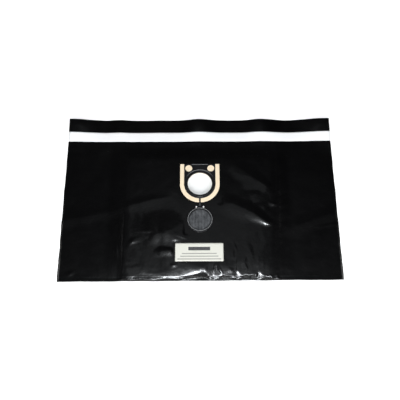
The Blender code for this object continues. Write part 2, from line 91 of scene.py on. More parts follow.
HALF_WIDTH = film_high.x
BOTTOM_Y, LIP_END_Y = film_low.y, film_high.y
WELD_Y = BOTTOM_Y + 8.4 * MM  # the middle of the bottom weld
MOUTH_Y = liner_low.y - 1.0 * MM  # the end of the front wall, where the lip begins
FILTER_HALF = filter_high.x
FILTER_BOTTOM_Y, FILTER_TOP_Y = filter_low.y, filter_high.y

BOARD_RADIUS = board_high.x
INLET_Y = board_low.y + BOARD_RADIUS
INLET_RADIUS = 31.45 * MM
FLANGE_TOP_Y = board_high.y
PLATE_RADIUS = plate_high.x
PLATE_TOP_Y = plate_high.y + 0.9 * MM  # its moulded edge
RING_WIDTH = 8.2 * MM  # the raised ring round the inlet
BRIM_RADIUS = plug_high.x
PLUG_Y = plug_low.y + BRIM_RADIUS
HOLE_RADIUS = INLET_RADIUS + 1.6 * MM  # in the film and in the fleece

# underside and thickness of board and plate, then the levels that others are set to
BOARD_Z, BOARD = board_low.z, 1.6 * MM
PLATE_Z, PLATE = plate_low.z, 1.2 * MM
RING_TOP_Z = plate_high.z
BRIM_TOP_Z = plug_low.z + 1.0 * MM
FRONT_Z = BOARD_Z - GAP

FOLD_Y = frame["joints"][0]["pos_m"][1]
print(f"film bag {2000 * HALF_WIDTH:.0f} mm wide, inlet at y {1000 * INLET_Y:.1f} mm")

# %% [markdown]
# ## From arrays to meshes
#
# `grid_faces` numbers the quads between the points of a grid, and `make_piece` hands
# points and polygons to Blender in whole arrays. A grid that closes on itself, such as
# a turned part, wraps its last column round to its first. `tidy` finishes a piece that
# has no wall of its own to add.

# %% Mesh helpers
SHARP_ANGLE = math.radians(35.0)


def ease(t):
    """0 below t = 0, 1 above t = 1, and the S curve 3t^2 - 2t^3 between."""
    t = np.clip(t, 0.0, 1.0)
    return t * t * (3.0 - 2.0 * t)


def grid_faces(rows, columns, first=0, wrap=False, close=False):
    """Quads between a grid's points, which are numbered row by row from first. wrap
    joins the last column to the first, and close joins the last row to the first."""
    index = first + np.arange(rows * columns).reshape(rows, columns)
    if wrap:
        index = np.concatenate([index, index[:, :1]], axis=1)
    if close:
        index = np.concatenate([index, index[:1]], axis=0)
    corners = [index[:-1, :-1], index[:-1, 1:], index[1:, 1:], index[1:, :-1]]
    return np.stack(corners, axis=-1).reshape(-1, 4)


def shown(name, data):
    """A new object for a mesh, a lamp or a camera, linked to the scene."""
    made = bpy.data.objects.new(name, data)
    bpy.context.scene.collection.objects.link(made)
    return made


def make_piece(name, points, polygons, finish):
    """A mesh object from an array of points and a list of arrays of polygons, where
    each array holds polygons with one number of corners."""
    points = np.asarray(points, np.float32).reshape(-1, 3)
    corners = np.concatenate([p.ravel() for p in polygons]).astype(np.int32)
    sizes = np.concatenate([np.full(len(p), p.shape[1], np.int32) for p in polygons])
    starts = np.concatenate([[0], np.cumsum(sizes)[:-1]]).astype(np.int32)
    mesh = bpy.data.meshes.new(name)
    mesh.vertices.add(len(points))
    mesh.vertices.foreach_set("co", points.ravel())
    mesh.loops.add(len(corners))
    mesh.loops.foreach_set("vertex_index", corners)
    mesh.polygons.add(len(sizes))
    mesh.polygons.foreach_set("loop_start", starts)
    mesh.update(calc_edges=True)
    mesh.materials.append(finish)
    return shown(name, mesh)


def tidy(piece, outward=True):
    """Merges points that meet at seams and poles, turns a closed surface's faces
    outward, and shades it smooth with edges past the sharp angle kept sharp."""
    bm = bmesh.new()
    bm.from_mesh(piece.data)
    bmesh.ops.remove_doubles(bm, verts=bm.verts, dist=1e-6)
    bmesh.ops.dissolve_degenerate(bm, edges=bm.edges, dist=1e-7)
    if outward:
        bmesh.ops.recalc_face_normals(bm, faces=bm.faces)
    bm.to_mesh(piece.data)
    bm.free()
    piece.data.shade_smooth()
    piece.data.set_sharp_from_angle(angle=SHARP_ANGLE)
    print(f"{piece.name}: {len(piece.data.polygons)} faces")
    return piece


# %% [markdown]
# ## Shader maths as Python
#
# A node tree is easier to read as an expression. `Signal` wraps one output socket and
# turns `a * b + 0.2` into Math nodes. `Finish` owns a material, and its `node` method
# adds any other node from its type, its settings and its sockets.

# %% Signal and Finish
class Signal:
    """One output socket, with Python's operators."""

    def __init__(self, finish, socket):
        self.finish, self.socket = finish, socket

    def maths(self, operation, first, second, clamp=False):
        settings = {"operation": operation, "use_clamp": clamp}
        return self.finish.node("ShaderNodeMath", settings, {0: first, 1: second})

    def __add__(self, other):
        return self.maths("ADD", self, other)

    def __sub__(self, other):
        return self.maths("SUBTRACT", self, other)

    def __rsub__(self, other):
        return self.maths("SUBTRACT", other, self)

    def __mul__(self, other):
        return self.maths("MULTIPLY", self, other)

    def __truediv__(self, other):
        return self.maths("DIVIDE", self, other)

    def __rtruediv__(self, other):
        return self.maths("DIVIDE", other, self)

    def __gt__(self, other):
        return self.maths("GREATER_THAN", self, other)

    def __lt__(self, other):
        return self.maths("LESS_THAN", self, other)

    def size(self):
        return self.maths("ABSOLUTE", self, 0.0)

    def whole(self):
        """The nearest whole number."""
        return self.maths("ROUND", self, 0.0)

    def clipped(self):
        return self.maths("ADD", self, 0.0, clamp=True)

    __radd__, __rmul__ = __add__, __mul__


class Finish:
    """A material with one Principled shader and its nodes."""

    def __init__(self, name, **sockets):
        self.material = bpy.data.materials.new(name)
        self.material.use_nodes = True
        self.tree = self.material.node_tree
        self.shader = self.tree.nodes["Principled BSDF"]
        for socket, value in sockets.items():
            self.set(socket.replace("_", " "), value)

    def set(self, socket, value):
        """Sets or links one socket of the Principled shader."""
        self.fill(self.shader.inputs[socket], value)

    def fill(self, socket, value):
        if isinstance(value, Signal):
            self.tree.links.new(value.socket, socket)
        elif isinstance(value, tuple) and len(value) == 3 and socket.type == "RGBA":
            socket.default_value = (*value, 1.0)
        else:
            socket.default_value = value

    def node(self, kind, settings, sockets, output=0):
        """Adds a node: first its settings, with a ramp's stops as (place, colour),
        then its sockets by name or number. Returns the named output as a Signal."""
        node = self.tree.nodes.new(kind)
        for setting, value in settings.items():
            if setting == "stops":
                ramp = node.color_ramp
                while len(ramp.elements) < len(value):
                    ramp.elements.new(1.0)
                for element, (place, colour) in zip(ramp.elements, value):
                    element.position, element.color = place, (*colour, 1.0)
            else:
                setattr(node, setting, value)
        for socket, value in sockets.items():
            self.fill(node.inputs[socket], value)
        return Signal(self, node.outputs[output])

    def place(self, scale=(1.0, 1.0, 1.0), turn=0.0, move=(0.0, 0.0, 0.0)):
        """Object coordinates in metres, moved, turned about Z and stretched."""
        here = self.node("ShaderNodeTexCoord", {}, {}, "Object")
        sockets = {"Vector": here, "Location": move, "Rotation": (0, 0, turn), "Scale": scale}
        return self.node("ShaderNodeMapping", {}, sockets)

    def along(self, where, axis):
        """The X, Y or Z of a place."""
        return self.node("ShaderNodeSeparateXYZ", {}, {0: where}, axis)

    def length(self, where):
        return self.node("ShaderNodeVectorMath", {"operation": "LENGTH"}, {0: where}, "Value")

    def from_axis(self, where):
        """Distance from the upright line through 0, 0: the length of (x, y, 0)."""
        settings, sockets = {"operation": "MULTIPLY"}, {0: where, 1: (1, 1, 0)}
        return self.length(self.node("ShaderNodeVectorMath", settings, sockets))

    def noise(self, where, scale, detail=2.0, roughness=0.5):
        sockets = {"Vector": where, "Scale": scale, "Detail": detail, "Roughness": roughness}
        return self.node("ShaderNodeTexNoise", {}, sockets, "Fac")

    def blend(self, share, first, second):
        """A colour between two colours."""
        sockets = {0: share, 6: first, 7: second}
        return self.node("ShaderNodeMix", {"data_type": "RGBA"}, sockets, 2)

    def bump(self, height, distance, under=None):
        """Bends the normal as if the surface rose by height times distance metres, on
        top of the bump given as under."""
        sockets = {"Strength": 1.0, "Distance": distance, "Height": height}
        if under is not None:
            sockets["Normal"] = under
        return self.node("ShaderNodeBump", {}, sockets, "Normal")


# %% [markdown]
# ## Black film
#
# Blown polyethylene film is black right through, with a smooth, slightly waxy surface.
# Its colour is almost nothing: what is seen is the room's reflection. So the finish
# lives in the roughness, which wanders a little, and in a bump of faint drawing lines
# from the extruder and of tiny crinkles from handling.

# %% Finish: black film
def black_film():
    film = Finish("black_film", Specular_IOR_Level=0.3, Coat_Roughness=0.09, Coat_IOR=1.45)
    here = film.place()
    handling = film.noise(here, 34.0, 4.0, 0.6)
    clouds = film.noise(here, 6.0, 3.0)
    film.set("Base Color", film.blend(clouds, (0.0008, 0.0008, 0.0009), (0.0020, 0.0020, 0.0022)))
    film.set("Roughness", 0.17 + handling * 0.10 + clouds * 0.05)
    film.set("Coat Weight", 0.35 + handling * 0.4)
    drawn = film.noise(film.place(scale=(9.0, 420.0, 1.0)), 1.0, 2.0)
    pulled = film.noise(film.place(scale=(380.0, 14.0, 1.0), turn=0.05), 1.0, 2.0)
    crinkle = film.noise(here, 150.0, 3.0, 0.62)
    dents = film.bump(handling, 0.7 * MM)
    lines = film.bump(drawn * 0.5 + pulled * 0.5, 0.03 * MM, under=dents)
    film.set("Normal", film.bump(crinkle, 0.06 * MM, under=lines))
    return film.material


BLACK_FILM = black_film()
print("film finish:", len(BLACK_FILM.node_tree.nodes), "nodes")

# %% [markdown]
# ## The shape of the film bag
#
# The real bag is a flat tube of film, welded across its bottom. One wall is cut
# longer and makes the sealing lip. It could be a cloth simulation, but a photograph
# shows where every crease lies, and a height formula puts them there.
#
# The front wall's height is a sum: the calm form over the filter bag, a list of
# ridges with a crest line each, and crumple, which is flat facets between random
# heights, because thin film bends along straight creases and not in round waves.

# %% The calm form
SHOULDER, SIDE_FALL, TOP_FALL, TAPER = 14 * MM, 58 * MM, 45 * MM, 30 * MM
WELD_RISE, EDGE_RISE, MOUTH_RISE = 0.5 * MM, 0.9 * MM, 1.4 * MM
# x, height at the lip's far edge, half width: where the film lifts off the table
LIFTS = [(-350, 12.5, 110), (-216, 3, 50), (-3, 8, 60), (168, 7.5, 62), (350, 12, 110)]


def lift(x, y):
    """Rise of the lip: the highest of some humps across x, each height * (1 - ease of
    the distance over its half width), times a curve that grows towards the far edge."""
    grows = ease((y - FILTER_TOP_Y) / (LIP_END_Y - FILTER_TOP_Y)) ** 1.4
    humps = [h * MM * (1 - ease(np.abs(x - at * MM) / (wide * MM))) for at, h, wide in LIFTS]
    return np.max(humps, axis=0) * grows


# %% [markdown]
# Along the bottom the film climbs from the weld over the filter bag's edge: first
# steeply, then for a short strip at the slope that mirrors a lamp, then ever more
# gently. Below the strip the film goes black, the strip shines white, and above it the
# mirrored ceiling fades out as a glow. Where the strip runs slantwise it is a streak,
# and where it is tall it is a wedge. So the table only says where the strip lies.

# %% The bottom ramp
STEEP_SLOPE, SHINE_SLOPE = 0.40, 0.235
# x, the strip's lower and upper edge and the height at its lower edge in millimetres,
# then the slope just above it
STRIP = [
    (-350, -224.6, -224.5, 0.1, 0.05), (-204, -224.6, -224.5, 0.1, 0.05),
    (-184, -219.6, -219.3, 2.1, 0.06), (-172, -220.6, -218.6, 1.75, 0.06),
    (-160, -221, -218.6, 1.65, 0.06), (-147, -219.8, -219.2, 2.05, 0.06),
    (-132, -219.6, -219.2, 2.1, 0.06), (-129, -222.4, -218.8, 1.35, 0.06),
    (-118, -223, -218.8, 1.25, 0.06), (-109, -222.4, -219, 1.4, 0.06),
    (-105, -219.3, -219, 2.15, 0.06), (-98, -218.6, -218.1, 2.3, 0.065),
    (-90, -217.6, -216.8, 2.6, 0.08), (-80, -217, -214.8, 2.8, 0.11),
    (-66, -218.4, -215.2, 2.4, 0.135), (-52, -220.5, -217.3, 1.9, 0.17),
    (-48, -218.5, -215, 2.0, 0.19), (-40, -216.5, -212.3, 2.5, 0.2),
    (-26, -213, -208.4, 3.4, 0.2), (-10, -209, -202.2, 4.1, 0.2), (4, -206, -199.4, 4.8, 0.2),
    (12, -204.5, -199.6, 5.2, 0.19), (15, -207, -206.5, 5.0, 0.19),
    (16, -208, -206.8, 4.4, 0.19), (26, -220.5, -219.3, 1.5, 0.19),
    (31, -223, -221.5, 0.6, 0.19), (33, -222.5, -219, 0.5, 0.19),
    (44, -217.6, -213.4, 2.2, 0.19), (54, -213, -209.5, 3.9, 0.19), (58, -213, -212, 3.9, 0.18),
    (68, -214.5, -213.8, 3.3, 0.16), (82, -217.3, -216.8, 2.7, 0.13),
    (87, -218, -217.7, 2.5, 0.12), (88.5, -224.5, -200.5, 0.1, 0.1),
    (92, -222.5, -202.5, 0.7, 0.1), (96, -219.5, -207, 1.95, 0.1),
    (100, -215.5, -211, 3.3, 0.1), (102, -215, -214.7, 3.9, 0.1), (104, -213, -212.8, 4.3, 0.1),
    (105.5, -215, -207, 3.0, 0.1), (107, -213, -212.8, 4.3, 0.1),
    (112, -209.5, -209.3, 4.7, 0.1), (119, -214, -213.8, 4.25, 0.1),
    (126, -210.5, -210.3, 4.6, 0.1), (133, -214, -213.8, 4.25, 0.1),
    (139, -211, -210.8, 4.55, 0.1), (141.5, -224.5, -201.5, 0.1, 0.1),
    (146, -222.5, -206, 1.15, 0.1), (150, -219.5, -210, 2.4, 0.1),
    (154.5, -215, -213, 3.9, 0.1), (158, -216, -215.8, 4.0, 0.09),
    (168, -216.5, -216.3, 3.7, 0.08), (176, -217.5, -217.3, 3.1, 0.08),
    (200, -224.6, -224.5, 0.1, 0.05), (350, -224.6, -224.5, 0.1, 0.05),
]


def bottom_ramp(x, y):
    """Rise of the ramp as a share of its full height: steep slope * length up to the
    strip, shine slope * length on it, and above it the rest * (1 - (1 - t)^2), whose
    slope falls from the table's last column to nothing."""
    at, lower, upper, height, glow = np.transpose(STRIP)
    lower, upper, height = [np.interp(x, at * MM, row * MM) for row in (lower, upper, height)]
    glow = np.interp(x, at * MM, glow)
    full = FRONT_Z - FILM - WELD_RISE
    foot = np.maximum(lower - height / STEEP_SLOPE, BOTTOM_Y + 0.2 * MM)
    rise = height * np.clip((y - foot) / np.maximum(lower - foot, 0.3 * MM), 0, 1)
    rise = rise + SHINE_SLOPE * np.clip(y - lower, 0, upper - lower)
    rest = np.maximum(full - height - SHINE_SLOPE * (upper - lower), 0.2 * MM)
    t = np.clip((y - upper) / (2 * rest / glow), 0, 1)
    return np.clip((rise + rest * (1 - (1 - t) ** 2)) / full, 0, 1)


print("columns of the strip table:", len(STRIP))


# %% [markdown]
# The calm form is that ramp, a low wing all round, and the raised field over the filter
# bag. Flange, plug and label press the film flat, so a mask keeps folds away from them.

# %% Calm front wall and its free parts
PRESSED_MARGIN = 1.5 * MM  # how far the film stays flat round flange, plug and label


def calm_front(x, y):
    """A low wing all round and a raised field over the filter bag: wing + (top - wing)
    times two S curves, for the sides and the top, and the ramp at the bottom."""
    wing = WELD_RISE + (EDGE_RISE - WELD_RISE) * ease((y - WELD_Y) / TAPER)
    wing = wing + (MOUTH_RISE - EDGE_RISE) * ease((y - FILTER_TOP_Y) / TAPER)
    field = 1 - ease((np.abs(x) - FILTER_HALF + SHOULDER) / SIDE_FALL)
    field = field * (1 - ease((y - FILTER_TOP_Y + SHOULDER) / TOP_FALL))
    field = field * bottom_ramp(x, y)
    return FILM / 2 + lift(x, y) + wing + (FRONT_Z - FILM - wing) * field


def away_from(x, y, box, clear, rise):
    """0 on a rectangle (left, right, bottom, top) and for a clear distance round it,
    rising to 1 over a further distance."""
    left, right, bottom, top = box
    across = np.maximum(np.maximum(left - x, x - right), 0)
    along = np.maximum(np.maximum(bottom - y, y - top), 0)
    return ease((np.hypot(across, along) - clear) / rise)


def free_film(x, y, rise):
    """0 where flange, plug or label lie on the film, 1 away from all three."""
    flange = (-BOARD_RADIUS, BOARD_RADIUS, board_low.y, FLANGE_TOP_Y)
    plug = (-BRIM_RADIUS, BRIM_RADIUS, plug_low.y, plug_high.y)
    label = (label_low.x, label_high.x, label_low.y, label_high.y)
    masks = [away_from(x, y, box, PRESSED_MARGIN, rise) for box in (flange, label, plug)]
    return masks[0] * masks[1] * masks[2]


# %% [markdown]
# A ridge is a crest line. Each of its points has a height and two widths, one towards
# the bottom of the bag and one towards its mouth, because film that is pushed together
# leans to one side. Narrowing a side makes it steeper, until it turns a lamp's light
# to the camera: that is how a ridge ends in a white tip. `keen` makes the crest a
# crease instead of a wave.

# %% Ridges
# keenness, then crest points (x, y, height, width below, width above) in millimetres
RIDGES = [
    (0.2, [
        (46, -14, 0, 30, 26), (84, -27, 2.6, 42, 26), (118, -42, 3.4, 42, 26),
        (147, -62, 3.8, 22, 24), (168, -78, 3.0, 11, 18), (180, -84, 0, 8, 12),
    ]),
    (0.6, [(176, -24, 0, 8, 8), (186, -27, 2.0, 8, 9), (204, -30, 0.6, 8, 8)]),
    (0.4, [
        (64, 98, 0, 30, 20), (92, 84, 1.3, 36, 26), (132, 54, 1.8, 38, 26),
        (172, 22, 1.9, 22, 18), (182, 9, 0, 12, 12),
    ]),
    (0.5, [
        (-345, -66, 1.0, 26, 18), (-270, -52, 1.6, 26, 18), (-200, -36, 1.3, 26, 18),
        (-120, -14, 1.2, 24, 18), (-80, -8, 0, 20, 14),
    ]),
    (0.4, [
        (205, -96, 0, 30, 26), (225, -92, 1.8, 30, 26), (270, -74, 2.0, 30, 26),
        (330, -52, 1.3, 28, 24), (348, -46, 0.6, 24, 20),
    ]),
    (0.9, [
        (208, -98, 0, 6, 8), (250, -90, 0.7, 6, 8), (300, -86, 0.6, 6, 8),
        (342, -80, 0.4, 6, 8),
    ]),
    (0.8, [
        (-190, -216, 0.4, 7, 7), (-191, -120, 0.7, 7, 7), (-190, 0, 0.5, 7, 7),
        (-192, 145, 0.4, 7, 7),
    ]),
    (0.8, [
        (200, -214, 0.4, 8, 8), (199, -60, 0.9, 8, 8), (203, 60, 0.9, 8, 8),
        (204, 145, 0.5, 8, 8),
    ]),
    (0.5, [
        (-178, -134, 0, 6, 9), (-167, -127, 1.4, 7, 12), (-154, -123, 0.6, 8, 14),
        (-142, -122, 0, 6, 9),
    ]),
    (0.4, [
        (-140, -96, 0, 34, 40), (-122, -101, 1.8, 38, 54), (-106, -104, 3.6, 39, 64),
        (-85, -104, 4.3, 40, 66), (-71, -109, 3.5, 36, 50), (-58, -120, 0, 20, 22),
    ]),
    (0.8, [
        (-78, -110, 0, 3.5, 3.5), (-72, -124, 0.8, 3.5, 3.5), (-65, -140, 0.7, 3.5, 3.5),
        (-66, -150, 0, 3, 3),
    ]),
    (0.8, [(-60, -112, 0, 3, 3), (-57, -122, 0.4, 3, 3), (-57, -130, 0, 3, 3)]),
    (0.2, [
        (-114, -153, 0, 14, 10), (-96, -151, 1.8, 18, 15), (-74, -152, 1.9, 17, 15),
        (-60, -156, 0, 8, 8),
    ]),
    (0.4, [(-74, -192, 0, 7, 9), (-63, -186, 1.0, 8, 9), (-52, -185, 0, 7, 9)]),
    (0.8, [(33, -214, 0.3, 3.5, 3.5), (34, -198, 1.5, 3.5, 3.5), (38, -180, 0.4, 3, 3)]),
    (0.8, [(55, -210, 0.3, 3.5, 5), (47, -198, 1.6, 3.5, 5), (40, -180, 0.4, 3, 3)]),
    (0.3, [(62, -208, 0, 6, 8), (72, -200, 0.6, 8, 9), (84, -206, 0, 6, 8)]),
    (0.1, [
        (-172, -210, 0, 8, 22), (-136, -204, 0.55, 10, 34), (-100, -206, 0.5, 10, 30),
        (-80, -212, 0, 7, 18),
    ]),
    (0.9, [(168, -207, 0, 3, 3), (172, -215, 0.8, 3, 3), (176, -222, 0.2, 3, 3)]),
    (0.9, [(183, -209, 0, 3, 3), (188, -216, 0.8, 3, 3), (191, -223, 0.2, 3, 3)]),
    (0.8, [
        (110, -206, 0, 3, 3), (114, -196, 0.5, 3, 3), (108, -182, 0.5, 3, 3),
        (114, -158, 0, 3, 3),
    ]),
    (0.8, [(120, -204, 0, 3, 3), (124, -190, 0.4, 3, 3), (120, -168, 0, 3, 3)]),
    (0.8, [(78, -120, 0, 3, 3), (86, -140, 0.5, 3, 3), (94, -158, 0.1, 3, 3)]),
    (0.7, [(-326, -212, 0, 6, 6), (-318, -206, 1.4, 7, 7), (-312, -196, 0, 6, 6)]),
    (0.5, [(-216, -120, 0, 9, 9), (-208, -150, 1.3, 10, 9), (-200, -184, 0, 9, 9)]),
]


def one_ridge(x, y, keen, crest):
    """For each stretch of the crest: the height at the nearest point of the stretch,
    times a profile of the distance over the width of that side. The profile mixes an
    S curve with the crease (1 - t)^1.5."""
    crest = np.array(crest, float) * MM
    highest = np.zeros_like(x)
    for a, b in zip(crest, crest[1:]):
        dx, dy = b[:2] - a[:2]
        share = np.clip(((x - a[0]) * dx + (y - a[1]) * dy) / (dx * dx + dy * dy), 0, 1)
        height, below, above = [a[k] + share * (b[k] - a[k]) for k in (2, 3, 4)]
        off_x, off_y = x - a[0] - share * dx, y - a[1] - share * dy
        side = (off_y * dx - off_x * dy) * np.sign(dx + 1e-9)
        t = np.clip(np.hypot(off_x, off_y) / np.where(side < 0, below, above), 0, 1)
        profile = keen * (1 - t) ** 1.5 + (1 - keen) * (1 - ease(t))
        highest = np.maximum(highest, height * profile)
    return highest


def all_ridges(x, y):
    """The highest of the ridges at each place."""
    return np.max([one_ridge(x, y, *ridge) for ridge in RIDGES], axis=0)


print("ridges:", len(RIDGES), "crest points:", sum(len(crest) for _, crest in RIDGES))


# %% [markdown]
# Crumple is a random height at each point of a triangular lattice, with flat facets
# between. The lattice point's height comes from a hash of its two whole numbers, so
# nothing has to be stored and the same bag comes out every time.

# %% Crumple
def lattice_height(i, j, seed):
    """A value from -1 to 1 that depends only on i, j and the seed: the fraction of a
    large multiple of a sine, the usual hash for a grid."""
    raw = np.sin(i * 127.1 + j * 311.7 + seed * 74.7) * 43758.5453
    return 2 * (raw - np.floor(raw)) - 1


def crumple(x, y, cell, seed):
    """Facets: a place is skewed onto a lattice of equal triangles of side cell, and its
    height is the straight-line mean of its triangle's three corner heights."""
    u, v = (x - y / math.sqrt(3)) / cell, 2 * y / math.sqrt(3) / cell
    i, j = np.floor(u), np.floor(v)
    s, t = u - i, v - j
    upper = s + t > 1
    near = np.where(upper, lattice_height(i + 1, j + 1, seed), lattice_height(i, j, seed))
    right, up = lattice_height(i + 1, j, seed), lattice_height(i, j + 1, seed)
    a, b = np.where(upper, 1 - t, s), np.where(upper, 1 - s, t)
    return near * (1 - a - b) + right * a + up * b


def warped(x, y, reach, seed):
    """The place itself pushed about by coarse crumple, so that facets lose their grid."""
    across = x + reach * crumple(x, y, 60 * MM, seed)
    return across, y + reach * crumple(x, y, 47 * MM, seed + 3)


# regions: (left, right, bottom, top), soft border, height, cell, stretch along y, seed
CRUMPLED = [
    ((-182, 186, -224, -196), 14, 0.26, 19, 1.25, 11),
    ((-182, 186, -224, -200), 14, 0.10, 8, 1.2, 12),
    ((-112, -60, -178, -104), 16, 0.14, 15, 1.3, 13),
    ((66, 124, -186, -138), 18, 0.36, 14, 1.8, 14),
    ((-180, -136, -140, -118), 14, 0.35, 13, 1.2, 15),
    ((120, 215, -50, 10), 24, 0.40, 17, 0.8, 16),
    ((210, 345, -216, -30), 30, 0.34, 34, 1.0, 17),
    ((-345, -196, -216, 150), 30, 0.30, 38, 1.0, 18),
    ((-330, 60, 98, 152), 20, 0.32, 15, 1.3, 19),
    ((-175, 175, -190, 110), 24, 0.16, 44, 1.0, 20),
    ((-60, 10, 100, 152), 14, 0.30, 7, 3.4, 21),
    ((-345, 345, -214, 150), 24, 0.07, 12, 1.0, 22),
]


def all_crumple(x, y):
    """Each region's facets, faded in over its border and stretched along the bag."""
    total = np.zeros_like(x)
    for box, border, height, cell, stretch, seed in CRUMPLED:
        region = 1 - away_from(x, y, tuple(np.array(box) * MM), 0.0, border * MM)
        across, along = warped(x, y / stretch, 9 * MM, seed)
        total += region * height * MM * crumple(across, along, cell * MM, seed)
    return total


print("crumpled regions:", len(CRUMPLED))


# %% [markdown]
# The film may not cut into the fleece bag inside it. So the fleece's height is worked
# out first, and the film's floor is the higher of back wall and fleece.

# %% The fleece under the film
FLEECE, SEAM_GAP, SINK, SLOW_TAPER = 1.2 * MM, 0.2 * MM, 1.0 * MM, 90 * MM
FOLD_MARGIN, FACET_MARGIN = 9 * MM, 6 * MM  # folds and facets grow over these
GATHER = 7 * MM  # and over this from the bottom edge
SEAM_DEPTH, SEAM_WIDTH = 0.35 * MM, 1.3 * MM  # the dip of the bottom weld
CLEARANCE = 0.1 * MM  # between front wall and back wall


def pillow_height(x, y):
    """Front wall of the fleece pillow: seam height at the edge, rising to the crown
    over the border by the product of one S curve for each side."""
    inside = ease((FILTER_HALF - FLEECE / 2 - np.abs(x)) / TAPER)
    inside = inside * ease((y - FILTER_BOTTOM_Y - FLEECE / 2) / SLOW_TAPER)
    inside = inside * ease((FILTER_TOP_Y - FLEECE / 2 - y) / TAPER)
    seam = filter_low.z + 1.5 * FLEECE + SEAM_GAP
    return seam + (filter_high.z - FLEECE / 2 - SINK - seam) * inside


def front_height(x, y):
    """The front wall: calm form + ridges + crumple, both faded out under the fittings
    and at the bottom weld, and never below the back wall or the fleece."""
    gathered = ease((y - BOTTOM_Y + MM) / GATHER)
    calm = calm_front(x, y)
    folds = all_ridges(x, y) * free_film(x, y, FOLD_MARGIN)
    facets = all_crumple(x, y) * free_film(x, y, FACET_MARGIN)
    seam = SEAM_DEPTH * np.exp(-(((y - WELD_Y) / SEAM_WIDTH) ** 2))
    floor = 1.5 * FILM + lift(x, y) + CLEARANCE
    over = (np.abs(x) < FILTER_HALF) & (y > FILTER_BOTTOM_Y) & (y < FILTER_TOP_Y)
    fleece = np.where(over, pillow_height(x, y) + FLEECE / 2 + FILM, 0.0)
    return np.maximum.reduce([calm + (folds + facets) * gathered - seam, floor, fleece])


# %% [markdown]
# The bag is one surface: front wall, side folds, bottom weld, back wall and lip. The
# grid is finest where the film gathers. The back wall uses every fifth column, since
# it lies flat, and a polygon with many corners joins each of its steps to the five of
# the front. A Solidify modifier then gives the sheet its 0.2 mm.

# %% Grid of the film bag
GATHERED_HALF = 208 * MM  # the fine columns reach this far to both sides
CORE_STEP, WING_STEP, LIP_STEP, BACK_EVERY = 2.32 * MM, 5.7 * MM, 3.6 * MM, 5
# rows: from the bottom edge over these stops to the mouth, with a step for each stretch
ROW_STOPS, ROW_STEPS = [-180, -110, -10], [1.5, 2.5, 2.9, 3.4]


def spaced(start, end, step):
    """Even places from start to end, about step apart."""
    return np.linspace(start, end, int(round((end - start) / step)) + 1)


def film_columns():
    """Fine steps over the filter bag and coarse ones over the wings beside it."""
    core = spaced(-GATHERED_HALF, GATHERED_HALF, CORE_STEP)
    wing = spaced(GATHERED_HALF, HALF_WIDTH - FILM / 2, WING_STEP)[1:]
    return np.concatenate([-wing[::-1], core, wing])


def film_rows():
    """Steps that grow from the bunched bottom edge to the calm mouth."""
    stops = [BOTTOM_Y + FILM / 2, *[stop * MM for stop in ROW_STOPS], MOUTH_Y]
    parts = [spaced(a, b, step * MM)[1:] for a, b, step in zip(stops, stops[1:], ROW_STEPS)]
    return np.concatenate([stops[:1]] + parts)


def soft_outline(x, y):
    """The bag is cut by hand tension, so it is a little out of square: the bottom edge
    drops to the left, the left edge leans, the lip is short. Sine waves of a few tenths
    of a millimetre wander along each edge, growing from nothing in the middle."""
    across, along = x / HALF_WIDTH, y / LIP_END_Y
    sway = np.sin(y * 61 + 1.0) + 0.6 * np.sin(y * 143)
    wave = np.sin(x * 47) + 0.6 * np.sin(x * 118 + 2.0)
    low, high = np.clip(-along, 0, 1) ** 3, np.clip(along, 0, 1) ** 3
    left = np.clip(-across, 0, 1) ** 2
    lean = 0.35 * sway * across**3 - left * (0.4 + 1.2 * along) - 1.4 * high * across
    drop = 0.3 * wave * along**3 - low * (1.0 - 1.4 * across) - 2.8 * high
    return x + MM * lean, y + MM * drop


def sheet_points(columns, rows, height):
    """Points of a sheet over columns x rows, at height(x, y)."""
    x, y = np.meshgrid(columns, rows)
    px, py = soft_outline(x, y)
    return np.stack([px, py, height(x, y)], axis=-1)


def back_height(x, y):
    """The back wall and the lip: flat on the table but for the lip's rise."""
    return FILM / 2 + lift(x, y)


print(f"grid of the front wall: {len(film_columns())} columns, {len(film_rows())} rows")


# %% [markdown]
# Film and fleece share a few steps. Both walls have the inlet's hole, whose edge has to
# be round although the grid is square, so the grid's points next to it are pulled onto
# the circle. Points that no face uses are dropped before Blender sees them.

# %% Helpers for sheets
def numbered(sheets):
    """Numbers for the points of several grids that follow each other in one list."""
    counts = [sheet.shape[0] * sheet.shape[1] for sheet in sheets]
    firsts = np.cumsum([0] + counts)
    return [
        first + np.arange(count).reshape(sheet.shape[:2])
        for first, count, sheet in zip(firsts, counts, sheets)
    ]


def open_inlet(points, faces, floor, reach):
    """Takes out the faces inside the inlet's hole, and pulls the points that are above
    a floor height and within reach of the hole's edge onto its circle: each is moved
    outward or inward by hole radius / its own distance from the centre."""
    x, y = points[:, 0], points[:, 1] - INLET_Y
    radius = np.hypot(x, y)
    middle = np.hypot(x[faces].mean(1), y[faces].mean(1))
    near = (np.abs(radius - HOLE_RADIUS) < reach) & (points[:, 2] > floor)
    pull = np.where(near, HOLE_RADIUS / np.maximum(radius, MM), 1.0)
    points[:, 0], points[:, 1] = x * pull, INLET_Y + y * pull
    return points, faces[middle > HOLE_RADIUS]


def make_skin(name, points, polygons, finish):
    """A piece from the points that its polygons use, with its faces turned outward."""
    used = np.unique(np.concatenate([p.ravel() for p in polygons]))
    number = np.zeros(len(points), int)
    number[used] = np.arange(len(used))
    skin = make_piece(name, points[used], [number[p] for p in polygons], finish)
    bm = bmesh.new()
    bm.from_mesh(skin.data)
    bmesh.ops.recalc_face_normals(bm, faces=bm.faces)
    bm.to_mesh(skin.data)
    bm.free()
    return skin


